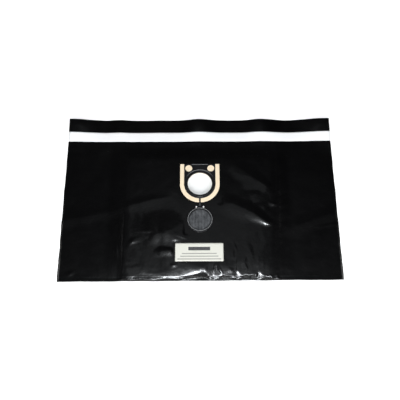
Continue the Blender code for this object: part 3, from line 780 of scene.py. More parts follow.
def add_wall(sheet, thickness, offset):
    """Shades a sheet smooth and gives it a thickness: offset 0 is half to each side, 1
    is all of it above the sheet."""
    sheet.data.shade_smooth()
    wall = sheet.modifiers.new("wall", "SOLIDIFY")
    wall.thickness, wall.offset = thickness, offset
    print(f"{sheet.name}: {len(sheet.data.polygons)} faces before its wall")


# %% Build the film bag
def edge_joints(few, near, far):
    """Polygons that join each step of a coarse edge to the fine edge over it."""
    made = []
    for k in range(len(few) - 1):
        over = far[few[k + 1] :: -1][: few[k + 1] - few[k] + 1]
        made.append(np.array([[near[k], near[k + 1], *over]]))
    return made


def build_film_bag():
    columns, rows = film_columns(), film_rows()
    few = np.append(np.arange(0, len(columns) - 1, BACK_EVERY), len(columns) - 1)
    front = sheet_points(columns, rows, front_height)
    back = sheet_points(columns[few], rows, back_height)
    lip = sheet_points(columns, spaced(MOUTH_Y, LIP_END_Y, LIP_STEP)[1:], back_height)
    front_id, back_id, lip_id = numbered([front, back, lip])
    sides = [
        np.stack([b[:-1], b[1:], f[1:], f[:-1]], axis=-1)
        for b, f in ((back_id[:, 0], front_id[:, 0]), (back_id[:, -1], front_id[:, -1]))
    ]
    points = np.concatenate([sheet.reshape(-1, 3) for sheet in (front, back, lip)])
    points, front_faces = open_inlet(points, grid_faces(*front_id.shape), 4 * MM, 1.7 * MM)
    polygons = [front_faces, grid_faces(*back_id.shape, back_id[0, 0]), *sides]
    polygons += [grid_faces(*lip_id.shape, lip_id[0, 0])]
    polygons += edge_joints(few, back_id[0], front_id[0])
    polygons += edge_joints(few, back_id[-1], lip_id[0])
    bag = make_skin("film_bag_skin", points, polygons, BLACK_FILM)
    add_wall(bag, FILM, 0.0)
    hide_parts("film_bag")
    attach(bag, "bag")


build_film_bag()

# %% [markdown]
# ## Fleece filter bag
#
# Inside lies a flat pillow of bonded fleece. Only its back wall shows, through the
# inlet, so what matters there is a soft white with short fibres pressed into it. The
# pillow is still built whole, as two walls that meet at sloping borders.

# %% Finish: fleece
def white_fleece():
    fleece = Finish("white_fleece", Roughness=0.92, Sheen_Weight=0.15)
    here = fleece.place()
    fibres = fleece.noise(fleece.place(scale=(1.0, 3.5, 1.0), turn=0.6), 520.0, 3.0, 0.7)
    crossing = fleece.noise(fleece.place(scale=(3.2, 1.0, 1.0), turn=-0.3), 480.0, 3.0, 0.7)
    pressed = fleece.noise(here, 60.0, 2.0)
    shade = (fibres * 0.5 + crossing * 0.3 + pressed * 0.2).clipped()
    fleece.set("Base Color", fleece.blend(shade, (0.88, 0.88, 0.87), (0.97, 0.97, 0.965)))
    soft = fleece.bump(pressed, 0.5 * MM)
    fleece.set("Normal", fleece.bump(fibres + crossing, 0.12 * MM, under=soft))
    return fleece.material


# %% Build the filter bag
FLEECE_STEP = 4 * MM


def build_filter_bag():
    low, edge = filter_low.z + FLEECE / 2, FLEECE / 2
    columns = spaced(-FILTER_HALF + edge, FILTER_HALF - edge, FLEECE_STEP)
    rows = spaced(FILTER_BOTTOM_Y + edge, FILTER_TOP_Y - edge, FLEECE_STEP)
    x, y = np.meshgrid(columns, rows)
    back = np.stack([x, y, np.full_like(x, low)], axis=-1)
    front = np.stack([x, y, pillow_height(x, y)], axis=-1)
    back_id, front_id = numbered([back, front])
    rings = [back_id[0], back_id[:, -1], back_id[-1, ::-1], back_id[::-1, 0]]
    rim = np.concatenate([ring[:-1] for ring in rings])
    after = np.roll(rim, -1)
    sides = np.stack([rim, after, after + x.size, rim + x.size], axis=-1)
    points = np.concatenate([back.reshape(-1, 3), front.reshape(-1, 3)])
    faces = grid_faces(*x.shape)
    points, kept = open_inlet(points, faces + front_id[0, 0], low + FLEECE, 2.6 * MM)
    bag = make_skin("filter_bag_fleece", points, [faces, kept, sides], white_fleece())
    add_wall(bag, FLEECE, 0.0)
    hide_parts("filter_bag")
    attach(bag, "bag")


build_filter_bag()

# %% [markdown]
# ## Flange board
#
# A D-shaped board of pressed fibre, straight at the top. Seen from the inlet's centre
# its outline is one distance for every direction, so the whole board is a grid of
# turn by section: the section runs up the inlet's wall, over the face, round the
# outer edge and back underneath.

# %% Flange outline
def outline_reach(turn, radius, top):
    """Distance from the inlet's centre to the outline: the radius below the centre,
    and above it the nearer of the straight side and the level top edge."""
    side = radius / np.maximum(np.abs(np.cos(turn)), 1e-6)
    level = top / np.maximum(np.sin(turn), 1e-6)
    return np.where(np.sin(turn) > 0, np.minimum(side, level), radius)


def flange_turns(radius, top, count):
    """Even turns, with the two upper corners' own directions added."""
    corner = math.atan2(top, radius)
    turns = np.linspace(0, 2 * np.pi, count, endpoint=False)
    return np.sort(np.append(turns, [corner, math.pi - corner]))


def flange_section(corners, fillet):
    """A closed run of (share, inset, height) corners, with share 0 at the inlet's wall
    and 1 at the outline, and inset metres beyond that. Each corner is rounded off by
    the curve (1-t)^2 A + 2t(1-t) P + t^2 B, in three steps."""
    t = np.linspace(0, 1, 4)[:, None]
    made = []
    befores, afters = corners[-1:] + corners[:-1], corners[1:] + corners[:1]
    for before, at, after in zip(befores, corners, afters):
        ends = []
        for other in (before, after):
            way = np.array([np.sign(other[0] - at[0]), 0.0])
            if other[0] == at[0]:
                way = np.array([other[1] - at[1], other[2] - at[2]])
                way = way / np.linalg.norm(way)
            ends.append(np.array(at[1:]) + fillet * way)
        curve = (1 - t) ** 2 * ends[0] + 2 * t * (1 - t) * np.array(at[1:]) + t**2 * ends[1]
        made.append(np.column_stack([np.full(len(t), at[0]), curve]))
    return made


def flange_grid(turns, reach, section):
    """Points (section, turn): the distance is inlet radius + share * (reach - inlet
    radius) + inset, in the direction of the turn from the inlet's centre."""
    share, inset, height = section[:, :1], section[:, 1:2], section[:, 2:]
    distance = INLET_RADIUS + share * (reach - INLET_RADIUS) + inset
    x, y = distance * np.cos(turns), INLET_Y + distance * np.sin(turns)
    return np.stack([x, y, np.broadcast_to(height, x.shape)], axis=-1)


# %% Finish: board
def tan_board():
    board = Finish("tan_board")
    here = board.place()
    pulp = board.noise(here, 900.0, 3.0, 0.65)
    cloud = board.noise(here, 45.0, 3.0)
    pale = board.blend(cloud, (0.90, 0.745, 0.535), (0.97, 0.835, 0.63))
    board.set("Base Color", board.blend(pulp * 0.35, pale, (0.78, 0.60, 0.40)))
    board.set("Roughness", 0.62 + pulp * 0.2)
    board.set("Normal", board.bump(pulp, 0.05 * MM, under=board.bump(cloud, 0.2 * MM)))
    return board.material


# %% Build the board
WINDOW_X, WINDOW_DROP, WINDOW_RADIUS = 28.7 * MM, 12.9 * MM, 9.25 * MM
WINDOW_Y = FLANGE_TOP_Y - WINDOW_DROP
# the board shows a low round spot in the middle of each window
SPOT_RADIUS, SPOT_EDGE, SPOT_HEIGHT = 4.5 * MM, 0.8 * MM, 0.4 * MM
BOARD_TURNS, BOARD_RINGS, BOARD_FILLET = 240, 44, 0.3 * MM


def build_board():
    top = FLANGE_TOP_Y - INLET_Y
    turns = flange_turns(BOARD_RADIUS, top, BOARD_TURNS)
    low, high = BOARD_Z, BOARD_Z + BOARD
    corners = [(0, 0, low), (0, 0, high), (1, 0, high), (1, 0, low)]
    arcs = flange_section(corners, BOARD_FILLET)
    across = np.linspace(0.02, 0.98, BOARD_RINGS)[:, None]
    face = np.column_stack([across, np.zeros_like(across), np.full_like(across, high)])
    section = np.concatenate([arcs[0], arcs[1], face, arcs[2], arcs[3]])
    points = flange_grid(turns, outline_reach(turns, BOARD_RADIUS, top), section)
    away = np.hypot(np.abs(points[..., 0]) - WINDOW_X, points[..., 1] - WINDOW_Y)
    spot = ease((SPOT_RADIUS - away) / SPOT_EDGE) * (points[..., 2] > high - 0.01 * MM)
    points[..., 2] += SPOT_HEIGHT * spot
    faces = grid_faces(len(section), len(turns), wrap=True, close=True)
    board = tidy(make_piece("flange_board_card", points, [faces], tan_board()))
    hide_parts("flange_board")
    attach(board, "bag")


build_board()

# %% [markdown]
# ## Flange plate
#
# The black plate is moulded: a raised ring round the inlet, a thin face with two
# windows, and a low rib along its top. Ring and face are one section on the same kind
# of grid as the board. The windows and peg sockets are cut with turned shapes that
# widen at the top, which leaves a small chamfer, as a mould does.
#
# Its finish is a satin black. The ring's outer edge and the rib get a painted highlight
# in grey, for the light they catch, so the finish reads distances and heights there.

# %% Finish: moulded plastics
RING_EDGE = INLET_RADIUS + RING_WIDTH - 0.3 * MM  # the middle of the painted highlight band
RING_HIGHLIGHT, RING_HIGHLIGHT_DEEP = 0.6 * MM, 0.5 * MM  # how far the painted highlight reaches in width and height
RING_HIGHLIGHT_FROM, RING_HIGHLIGHT_FADE = 18 * MM, 14 * MM  # it fades in from here above the inlet's centre
RIB_BAND, RIB_ABOVE = 2.6 * MM, 0.4 * MM  # the rib's painted highlight: how far from the top edge, how far above the face
# painted highlight: the grey of the light that the ring's edge and the rib catch
PAINTED_HIGHLIGHT_GREY = (0.40, 0.40, 0.41)


def painted_edge_highlights(plastic):
    """Painted highlight on the ring's outer edge above the inlet and on the rib's top, where
    these edges catch the light: a band of distance from the inlet's axis, fading towards
    the sides, and a band of height, both broken up by noise."""
    here = plastic.place(move=(0.0, -INLET_Y, 0.0))
    y, z = plastic.along(here, "Y"), plastic.along(here, "Z")
    ring = (1.5 - (plastic.from_axis(here) - RING_EDGE).size() / RING_HIGHLIGHT).clipped()
    ring = ring * (z > RING_TOP_Z - RING_HIGHLIGHT_DEEP)
    ring = ring * ((y - RING_HIGHLIGHT_FROM) / RING_HIGHLIGHT_FADE).clipped()
    rib = (y > PLATE_TOP_Y - INLET_Y - RIB_BAND) * (z > PLATE_Z + PLATE + RIB_ABOVE)
    patches = plastic.noise(here, 240.0, 2.0)
    return ((ring * 0.75 + rib * 0.5) * (0.4 + patches * 1.1)).clipped()


def black_plastic():
    """Satin plastic: cloudy colour, a fine spark-eroded grain, faint flow marks and painted
    highlights on ring edge and rib.
    """
    plastic = Finish("black_plastic", Specular_IOR_Level=0.35)
    here = plastic.place()
    cloud = plastic.noise(here, 70.0, 3.0)
    pits = plastic.noise(here, 1300.0, 2.0, 0.6)
    flow = plastic.noise(plastic.place(scale=(260.0, 30.0, 30.0)), 1.0, 2.0)
    clouds = cloud * 0.6 + flow * 0.4
    plain = plastic.blend(clouds, (0.006, 0.006, 0.007), (0.012, 0.012, 0.013))
    # the colour carries a painted highlight in grey on the ring's outer edge and on the rib
    plastic.set("Base Color", plastic.blend(painted_edge_highlights(plastic), plain, PAINTED_HIGHLIGHT_GREY))
    plastic.set("Roughness", 0.22 + cloud * 0.12 + pits * 0.08)
    streaks = plastic.bump(flow, 0.08 * MM)
    plastic.set("Normal", plastic.bump(pits, 0.02 * MM, under=streaks))
    return plastic.material


BLACK_PLASTIC = black_plastic()
print("plastic finish:", len(BLACK_PLASTIC.node_tree.nodes), "nodes")

# %% [markdown]
# Moulded parts are made from a few simple shapes. A profile turned about an upright
# line gives plugs, bores and windows, and a section carried along a line gives ribs.
# Exact Booleans then join or cut them, as a toolmaker adds and removes metal.

# %% Turned and joined shapes
def turned(name, profile, x, y, steps, finish):
    """A profile of (radius, height) pairs turned about the upright line through x, y:
    the point at turn a is (x + r cos a, y + r sin a, z)."""
    radius, height = np.array(profile, float).T
    turn = np.linspace(0, 2 * np.pi, steps, endpoint=False)
    points = np.stack(
        [
            x + radius[:, None] * np.cos(turn),
            y + radius[:, None] * np.sin(turn),
            np.repeat(height[:, None], steps, axis=1),
        ],
        axis=-1,
    )
    faces = grid_faces(len(profile), steps, wrap=True)
    return make_piece(name, points, [faces], finish)


def rounded(corners, fillet, steps):
    """An open run of (radius, height) corners with each inner corner drawn as a small
    curve: (1-t)^2 A + 2t(1-t) P + t^2 B between points A and B beside the corner P."""
    corners = np.array(corners, float)
    t = np.linspace(0, 1, steps + 1)[:, None]
    made = [corners[:1]]
    for before, at, after in zip(corners, corners[1:], corners[2:]):
        back, on = before - at, after - at
        reach = min(fillet, 0.45 * np.linalg.norm(back), 0.45 * np.linalg.norm(on))
        a = at + back / np.linalg.norm(back) * reach
        b = at + on / np.linalg.norm(on) * reach
        made.append((1 - t) ** 2 * a + 2 * t * (1 - t) * at + t**2 * b)
    return np.concatenate(made + [corners[-1:]])


def merge_shapes(piece, others, operation):
    """Joins or cuts closed shapes with exact Booleans, and keeps the resulting mesh."""
    for other in others:
        step = piece.modifiers.new(other.name, "BOOLEAN")
        step.operation = operation
        step.solver = "EXACT"
        step.object = other
    graph = bpy.context.evaluated_depsgraph_get()
    result = bpy.data.meshes.new_from_object(piece.evaluated_get(graph))
    piece.modifiers.clear()
    piece.data = result
    for other in others:
        bpy.data.objects.remove(other, do_unlink=True)
    return piece


def flared_cutter(name, x, y, radius, low, face):
    """A turned cutter: straight up to just under a face, then widening through it."""
    flare, past = 0.3 * MM, 3 * MM
    wide, top = radius + 2 * flare, face + past
    profile = [(0, low), (radius, low), (radius, face - flare)]
    profile += [(wide, face + flare), (wide, top), (0, top)]
    return tidy(turned(name, profile, x, y, 40, None))


def rounded_bar(name, ends, width, low, high, finish):
    """A straight bar between two (x, y) ends: a section with rounded upper corners is
    carried along the line, and shrinks to the line itself at both ends. Each station's
    share of the full section is in shrink."""
    (ax, ay), (bx, by) = ends
    along = np.array([bx - ax, by - ay])
    length = np.linalg.norm(along)
    along = along / length
    side = np.array([-along[1], along[0]])
    half, round_off = width / 2, 0.35 * (high - low)
    outline = [(-half, low), (-half, high), (half, high), (half, low)]
    section = rounded(outline, min(round_off, 0.4 * width), 4)
    station = np.array([0.0, 0.0, 0.12 * width, 0.3 * width, length / 2])
    shrink = np.array([0.0, 0.78, 0.93, 1.0, 1.0])
    station = np.concatenate([station, length - station[::-1][1:]])
    shrink = np.concatenate([shrink, shrink[::-1][1:]])
    offset = shrink[:, None] * section[:, 0]
    tall = low + np.minimum(shrink * 1.08, 1.0)[:, None] * (section[:, 1] - low)
    x = ax + along[0] * station[:, None] + side[0] * offset
    y = ay + along[1] * station[:, None] + side[1] * offset
    points = np.stack([x, y, tall], axis=-1)
    faces = grid_faces(len(station), len(section), wrap=True)
    return tidy(make_piece(name, points, [faces], finish))


# %% Build the plate
PEG_RADIUS = 2.2 * MM
pegs = [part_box(name) for name in ("lock_peg_left", "lock_peg_right")]
PEG_PLACES = [((low.x + high.x) / 2, (low.y + high.y) / 2) for low, high in pegs]
PLATE_TURNS, PLATE_FILLET = 160, 0.28 * MM
# a shallow groove runs round the ring's top: its two edges and its depth
GROOVE_FROM, GROOVE_TO, GROOVE_DEPTH = 4.6, 7.2, 0.45 * MM
TOP_RIB_HALF, TOP_RIB_INSET, TOP_RIB_WIDTH = 21 * MM, 1.8 * MM, 1.2 * MM
TOP_RIB_ROOT, TOP_RIB_RISE = 0.4 * MM, 0.7 * MM  # below and above the plate's face


def build_plate():
    top = PLATE_TOP_Y - INLET_Y
    turns = flange_turns(PLATE_RADIUS, top, PLATE_TURNS)
    low, face = PLATE_Z, PLATE_Z + PLATE
    corners = [(0, 0, low), (0, 0, RING_TOP_Z), (0, RING_WIDTH, RING_TOP_Z)]
    corners += [(0, RING_WIDTH, face), (1, 0, face), (1, 0, low)]
    arcs = flange_section(corners, PLATE_FILLET)
    inset = np.linspace(GROOVE_FROM, GROOVE_TO, 13)[:, None] * MM
    height = RING_TOP_Z - GROOVE_DEPTH * np.sin(np.linspace(0, np.pi, 13))[:, None]
    groove = np.column_stack([np.zeros_like(inset), inset, height])
    section = np.concatenate([*arcs[:2], groove, *arcs[2:]])
    points = flange_grid(turns, outline_reach(turns, PLATE_RADIUS, top), section)
    faces = grid_faces(len(section), len(turns), wrap=True, close=True)
    plate = tidy(make_piece("flange_plate_moulding", points, [faces], BLACK_PLASTIC))
    ends = [(x, PLATE_TOP_Y - TOP_RIB_INSET) for x in (-TOP_RIB_HALF, TOP_RIB_HALF)]
    levels = face - TOP_RIB_ROOT, face + TOP_RIB_RISE
    rib = rounded_bar("top_rib", ends, TOP_RIB_WIDTH, *levels, BLACK_PLASTIC)
    merge_shapes(plate, [rib], "UNION")
    cutters = [
        flared_cutter(f"window_{i}", x, WINDOW_Y, WINDOW_RADIUS, low - MM, face)
        for i, x in enumerate((-WINDOW_X, WINDOW_X))
    ]
    cutters += [
        flared_cutter(f"socket_{i}", x, 2 * FOLD_Y - y, PEG_RADIUS + GAP, face - GAP, RING_TOP_Z)
        for i, (x, y) in enumerate(PEG_PLACES)
    ]
    merge_shapes(plate, cutters, "DIFFERENCE")
    tidy(plate, outward=False)
    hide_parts("flange_plate")
    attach(plate, "bag")


build_plate()

# %% [markdown]
# ## Closing plug
#
# The plug lies face up beside the flange: a flat brim, a rim that snaps into the
# inlet, a floor with straight ribs, and a lug that carries two pegs. It is a turned
# part with bars joined to it, so its profile comes first and Booleans do the rest.
#
# The plug's floor is painted greyer than the clean brim, a painted sheen with scuffs
# in it, and the rim's upper edge has a painted highlight, a light line. Both are rings
# round the plug's own axis, so the finish reads the distance from that axis.

# %% Finish: plug
RIM_RADIUS, PLUG_WALL = INLET_RADIUS - 0.35 * MM, 2.0 * MM
RIB_COUNT, RIB_PITCH, RIB_SETBACK = 7, 7.5 * MM, 2.5 * MM
FLOOR_RADIUS, FLOOR_FADE = 28.4 * MM, 2.5 * MM  # the floor's painted sheen, with scuffs, and its soft border
# the rim's painted highlight: its radius, how far it reaches to both sides, and how deep
RIM_HIGHLIGHT_AT, RIM_HIGHLIGHT_REACH, RIM_HIGHLIGHT_DEEP = 30.3 * MM, 0.5 * MM, 0.3 * MM


def plug_plastic():
    """Painted sheen with scuffs: noise inside the floor's radius, with a painted highlight
    on each rib, so darker between the ribs: a rib's mark comes from the distance to the
    nearest whole multiple of the ribs' pitch."""
    plastic = Finish("plug_plastic", Specular_IOR_Level=0.3)
    here = plastic.place(move=(0.0, -PLUG_Y, 0.0))
    away, x, z = plastic.from_axis(here), plastic.along(here, "X"), plastic.along(here, "Z")
    floor = ((FLOOR_RADIUS - away) / FLOOR_FADE).clipped()
    # painted highlight: a light line on the rim's upper edge
    rim = (1.4 - (away - RIM_HIGHLIGHT_AT).size() / RIM_HIGHLIGHT_REACH).clipped()
    rim = rim * (z > plug_high.z - RIM_HIGHLIGHT_DEEP)
    # painted highlight on the ribs' tops
    rib = (1.5 - (x - (x / RIB_PITCH).whole() * RIB_PITCH).size() / (0.6 * MM)).clipped()
    scuffs = plastic.noise(plastic.place(scale=(1.0, 0.35, 1.0), turn=0.2), 260.0, 4.0, 0.65)
    cloud = plastic.noise(here, 90.0, 3.0, 0.6)
    # painted sheen on the floor, broken up by scuffs and cloud, and lighter on the ribs
    floor_sheen_and_scuffs = ((cloud * 0.8 + scuffs * 0.5 - 0.28) * 1.7 + rib * 0.45 - 0.22).clipped()
    sheen_and_scuff_colour = plastic.blend(floor_sheen_and_scuffs, (0.012, 0.013, 0.015), (0.125, 0.130, 0.138))
    clean = plastic.blend(floor, (0.005, 0.005, 0.006), sheen_and_scuff_colour)
    # the rim's painted highlight is the light grey (0.30, 0.305, 0.31)
    plastic.set("Base Color", plastic.blend(rim, clean, (0.30, 0.305, 0.31)))
    plastic.set("Roughness", 0.30 + floor * 0.14 + cloud * 0.08)
    plastic.set("Normal", plastic.bump(scuffs, 0.05 * MM))
    return plastic.material


PLUG_PLASTIC = plug_plastic()


# %% The plug's lug
LUG_WIDTH, LUG_CORNER = 26.6 * MM, 2.0 * MM
LUG_END_Y = PEG_PLACES[0][1] + 3.5 * MM


def plug_lug():
    """The flat lug: a rounded oblong outline carried up from just inside the brim's
    underside to just inside its top, shrinking a little at both faces."""
    half = LUG_WIDTH / 2
    run = [(-half, PLUG_Y), (half, PLUG_Y), (half, LUG_END_Y), (-half, LUG_END_Y)]
    outline = rounded(run + run[:1], LUG_CORNER, 6)[:-1]
    low, high, ease_in = BOARD_Z + 0.05 * MM, BRIM_TOP_Z - 0.05 * MM, 0.2 * MM
    levels = np.array([low, low, low + ease_in, high - ease_in, high, high])
    inset = np.array([1.0, ease_in, 0.0, 0.0, ease_in, 1.0])
    middle = np.array([0.0, (PLUG_Y + LUG_END_Y) / 2])
    away = outline - middle
    length = np.linalg.norm(away, axis=1, keepdims=True)
    scale = np.where(inset[:, None, None] == 1.0, 0.0, 1 - inset[:, None, None] / length)
    flat = middle + away * scale
    height = np.broadcast_to(levels[:, None, None], (*flat.shape[:2], 1))
    points = np.concatenate([flat, height], axis=-1)
    faces = grid_faces(len(levels), len(outline), wrap=True)
    return tidy(make_piece("plug_lug", points, [faces], PLUG_PLASTIC))


# %% Build the plug
PLUG_TURNS, PLUG_FILLET = 144, 0.45 * MM
RIB_WIDTH, RIB_ROOT, RIB_RISE = 1.0 * MM, 0.5 * MM, 0.8 * MM
BORE_RADIUS, BORE_TOP = 1.6 * MM, 20 * MM


def build_plug():
    rim_top = plug_high.z
    corners = [(0, BOARD_Z), (BRIM_RADIUS, BOARD_Z), (BRIM_RADIUS, BRIM_TOP_Z)]
    corners += [(RIM_RADIUS, BRIM_TOP_Z), (RIM_RADIUS, rim_top)]
    corners += [(RIM_RADIUS - PLUG_WALL, rim_top), (RIM_RADIUS - PLUG_WALL, BRIM_TOP_Z)]
    profile = rounded(corners + [(0, BRIM_TOP_Z)], PLUG_FILLET, 4)
    plug = turned("closing_plug_moulding", profile, 0.0, PLUG_Y, PLUG_TURNS, PLUG_PLASTIC)
    tidy(plug)
    reach = RIM_RADIUS - PLUG_WALL - RIB_SETBACK
    places = (np.arange(RIB_COUNT) - (RIB_COUNT - 1) / 2) * RIB_PITCH
    halves = np.sqrt(reach**2 - places**2)
    levels = BRIM_TOP_Z - RIB_ROOT, BRIM_TOP_Z + RIB_RISE
    ribs = []
    for i, (x, half) in enumerate(zip(places, halves)):
        ends = ((x, PLUG_Y - half), (x, PLUG_Y + half))
        ribs.append(rounded_bar(f"plug_rib_{i}", ends, RIB_WIDTH, *levels, PLUG_PLASTIC))
    merge_shapes(plug, [plug_lug()] + ribs, "UNION")
    side = [(0, 0), (BORE_RADIUS, 0), (BORE_RADIUS, BORE_TOP), (0, BORE_TOP)]
    bores = [turned(f"bore_{i}", side, x, y, 24, None) for i, (x, y) in enumerate(PEG_PLACES)]
    merge_shapes(plug, [tidy(bore) for bore in bores], "DIFFERENCE")
    tidy(plug, outward=False)
    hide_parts("closing_plug")
    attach(plug, "plug")


build_plug()

# %% [markdown]
# ## Strap
#
# The strap is a thin tongue of the same moulding that bends when the plug is folded
# over. A ribbon section is carried along its side view, with its steps packed close
# round the fold.

# %% Build the strap
STRAP_WIDTH, STRAP = 4.5 * MM, 0.8 * MM
STRAP_BEND, STRAP_FILLET, STRAP_STEP = 1.6 * MM, 0.25 * MM, 0.8 * MM
NECK, NECK_REACH = 0.12, 1.0 * MM  # the strap is this share narrower at its fold


def build_strap():
    """Side view: a run of (y, z) points with rounded bends, tilted by its own slope.
    Width: the strap's, times 1 - neck * exp(-(distance from the fold / reach)^2)."""
    high = PLATE_Z + 0.1 * MM + STRAP / 2
    low = BOARD_Z + 0.5 * MM
    side_view = [(INLET_Y - PLATE_RADIUS + 0.8 * MM, high), (board_low.y - 1.0 * MM, high)]
    side_view += [(LUG_END_Y - 1.75 * MM, low), (LUG_END_Y - 4.0 * MM, low)]
    bends = rounded(side_view, STRAP_BEND, 8)
    bend_y, bend_z = bends[::-1].T
    close = FOLD_Y + np.linspace(-1.3, 1.3, 27) * MM
    even = spaced(bend_y[0], bend_y[-1], STRAP_STEP)
    y = np.unique(np.concatenate([bend_y, close, even]))[::-1]
    z = np.interp(y, bend_y, bend_z)
    half, thick = STRAP_WIDTH / 2, STRAP / 2
    ring = [(-half, 0), (-half, thick), (half, thick), (half, -thick), (-half, -thick)]
    section = rounded(ring + ring[:1], STRAP_FILLET, 3)[:-1]
    neck = 1 - NECK * np.exp(-(((y - FOLD_Y) / NECK_REACH) ** 2))
    slope = np.gradient(z, y)
    tilt = 1 / np.sqrt(1 + slope**2)
    x = np.broadcast_to(section[:, 0], (len(y), len(section))) * neck[:, None]
    up = section[:, 1] * np.ones((len(y), 1))
    py = y[:, None] - up * (slope * tilt)[:, None]
    pz = z[:, None] + up * tilt[:, None]
    points = np.stack([x, py, pz], axis=-1)
    caps = np.arange(len(section))
    last = (len(y) - 1) * len(section)
    polygons = [grid_faces(len(y), len(section), wrap=True)]
    polygons += [caps[None, :], (last + caps)[None, :]]
    strap = tidy(make_piece("plug_strap", points, polygons, BLACK_PLASTIC))
    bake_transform(strap)


build_strap()

# %% [markdown]
# ## Pegs
#
# Two natural-white pegs hold the folded plug shut. Each is a turned shank with a domed
# head: a quarter circle as the profile's last stretch.

# %% Finish: pegs
def white_plastic():
    peg = Finish("white_plastic", Subsurface_Weight=0.15, Subsurface_Scale=0.6 * MM)
    cloud = peg.noise(peg.place(), 700.0, 2.0)
    peg.set("Base Color", peg.blend(cloud, (0.90, 0.89, 0.86), (0.96, 0.95, 0.93)))
    peg.set("Roughness", 0.32 + cloud * 0.15)
    peg.set("Normal", peg.bump(cloud, 0.02 * MM))
    return peg.material


# %% Build the pegs
SHANK_RADIUS, HEAD_UNDERSIDE = 1.3 * MM, 2.0 * MM


def build_pegs():
    finish = white_plastic()
    head = BRIM_TOP_Z + GAP
    turn = np.radians(np.linspace(0, 90, 10))
    for side, (low, high), (x, y) in zip(("left", "right"), pegs, PEG_PLACES):
        rise = head + (high.z - head) * np.sin(turn)
        dome = np.column_stack([PEG_RADIUS * np.cos(turn), rise])
        profile = [(0, low.z), (SHANK_RADIUS, low.z), (SHANK_RADIUS, head)]
        profile += [(HEAD_UNDERSIDE, head), *dome.tolist()]
        peg = tidy(turned("lock_peg_head_" + side, profile, x, y, 32, finish))
        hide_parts("lock_peg_" + side)
        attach(peg, "plug")


build_pegs()

# %% [markdown]
# ## Tape and liner
#
# The lip carries an adhesive tape under a white release liner. Both are strips that
# follow the lip's bumps exactly: the same lift formula, a little higher. They run from
# edge to edge of the film, with the film's own columns and soft outline.

# %% Finish: liner and adhesive
def liner_paper():
    paper = Finish("liner_paper")
    here = paper.place()
    fibre = paper.noise(paper.place(scale=(1.0, 2.2, 1.0)), 420.0, 3.0, 0.6)
    broad = paper.noise(here, 22.0, 2.0)
    paper.set("Base Color", paper.blend(broad, (0.95, 0.955, 0.96), (0.985, 0.985, 0.985)))
    paper.set("Roughness", 0.42 + fibre * 0.16)
    paper.set("Normal", paper.bump(fibre, 0.02 * MM, under=paper.bump(broad, 0.3 * MM)))
    return paper.material


def adhesive():
    glue = Finish("adhesive")
    blobs = glue.noise(glue.place(), 180.0, 3.0)
    glue.set("Base Color", glue.blend(blobs, (0.76, 0.73, 0.64), (0.84, 0.81, 0.73)))
    glue.set("Roughness", 0.22 + blobs * 0.2)
    glue.set("Normal", glue.bump(blobs, 0.04 * MM))
    return glue.material


# %% Build the strips
STRIP_STEP, TAPE, LINER = 3 * MM, 0.15 * MM, 0.12 * MM


def build_strip(name, node, gap, thickness, finish):
    """A strip across the lip: the lip's own height plus a gap, with its wall upwards."""

    def strip_height(x, y):
        return back_height(x, y) + FILM / 2 + gap

    low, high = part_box(node)
    columns, rows = film_columns(), spaced(low.y, high.y, STRIP_STEP)
    points = sheet_points(columns, rows, strip_height)
    strip = make_piece(name, points, [grid_faces(len(rows), len(columns))], finish)
    add_wall(strip, thickness, 1.0)
    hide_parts(node)
    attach(strip, "bag")


build_strip("adhesive_strip", "adhesive_tape", GAP, TAPE, adhesive())
above = 2 * GAP + TAPE
build_strip("release_liner_strip", "release_liner", above, LINER, liner_paper())

# %% [markdown]
# ## Label
#
# An off-white paper label with a plain grey bar and three ruled lines to write on. They
# are masks worked out from the place on the label, with a little noise so that the ink
# looks printed.

# %% Finish: label
# lower edge above the label's own, thickness and half length, in millimetres
RULED = [(4.5, 2.6, 54), (11.5, 2.6, 47), (18.5, 2.6, 43)]
PLAIN_BAR = (28, 9.0, 27)


def label_paper():
    paper = Finish("label_paper", Roughness=0.55)
    here = paper.place()
    fibre = paper.noise(here, 520.0, 3.0, 0.6)
    x, y = paper.along(here, "X"), paper.along(here, "Y")
    centre = (label_low.x + label_high.x) / 2

    def printed(above, thick, half_length):
        """1 inside a level bar: near enough to the middle line, and between two edges."""
        bottom = label_low.y + above * MM
        near = (x - centre).size() < half_length * MM
        return near * (y > bottom) * (y < bottom + thick * MM)

    lines = sum(printed(*line) for line in RULED)
    ink = ((lines * 0.55 + printed(*PLAIN_BAR)) * (0.82 + fibre * 0.3)).clipped()
    sheet = paper.blend(fibre, (0.68, 0.675, 0.605), (0.74, 0.735, 0.665))
    paper.set("Base Color", paper.blend(ink, sheet, (0.035, 0.035, 0.04)))
    paper.set("Normal", paper.bump(fibre, 0.03 * MM))
    return paper.material


# %% Build the label
LABEL_STEP, LABEL = 3 * MM, 0.15 * MM
DROOP, DROOP_REACH, WAVE = 0.12 * MM, 4 * MM, 0.03 * MM


def build_label():
    """A plain oblong sheet. Its height is the label's own, minus the droop, which grows
    on an S curve from the border's reach to the edge, plus wave * sin x * sin y."""
    columns = spaced(label_low.x, label_high.x, LABEL_STEP)
    rows = spaced(label_low.y, label_high.y, LABEL_STEP)
    x, y = np.meshgrid(columns, rows)
    border = np.minimum(x - label_low.x, label_high.x - x)
    border = np.minimum(border, np.minimum(y - label_low.y, label_high.y - y))
    wave = WAVE * np.sin(x * 90) * np.sin(y * 130)
    z = label_low.z - DROOP * (1 - ease(border / DROOP_REACH)) + wave
    points = np.stack([x, y, z], axis=-1)
    label = make_piece("label_sheet", points, [grid_faces(*x.shape)], label_paper())
    add_wall(label, LABEL, 1.0)
    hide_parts("label")
    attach(label, "bag")


build_label()

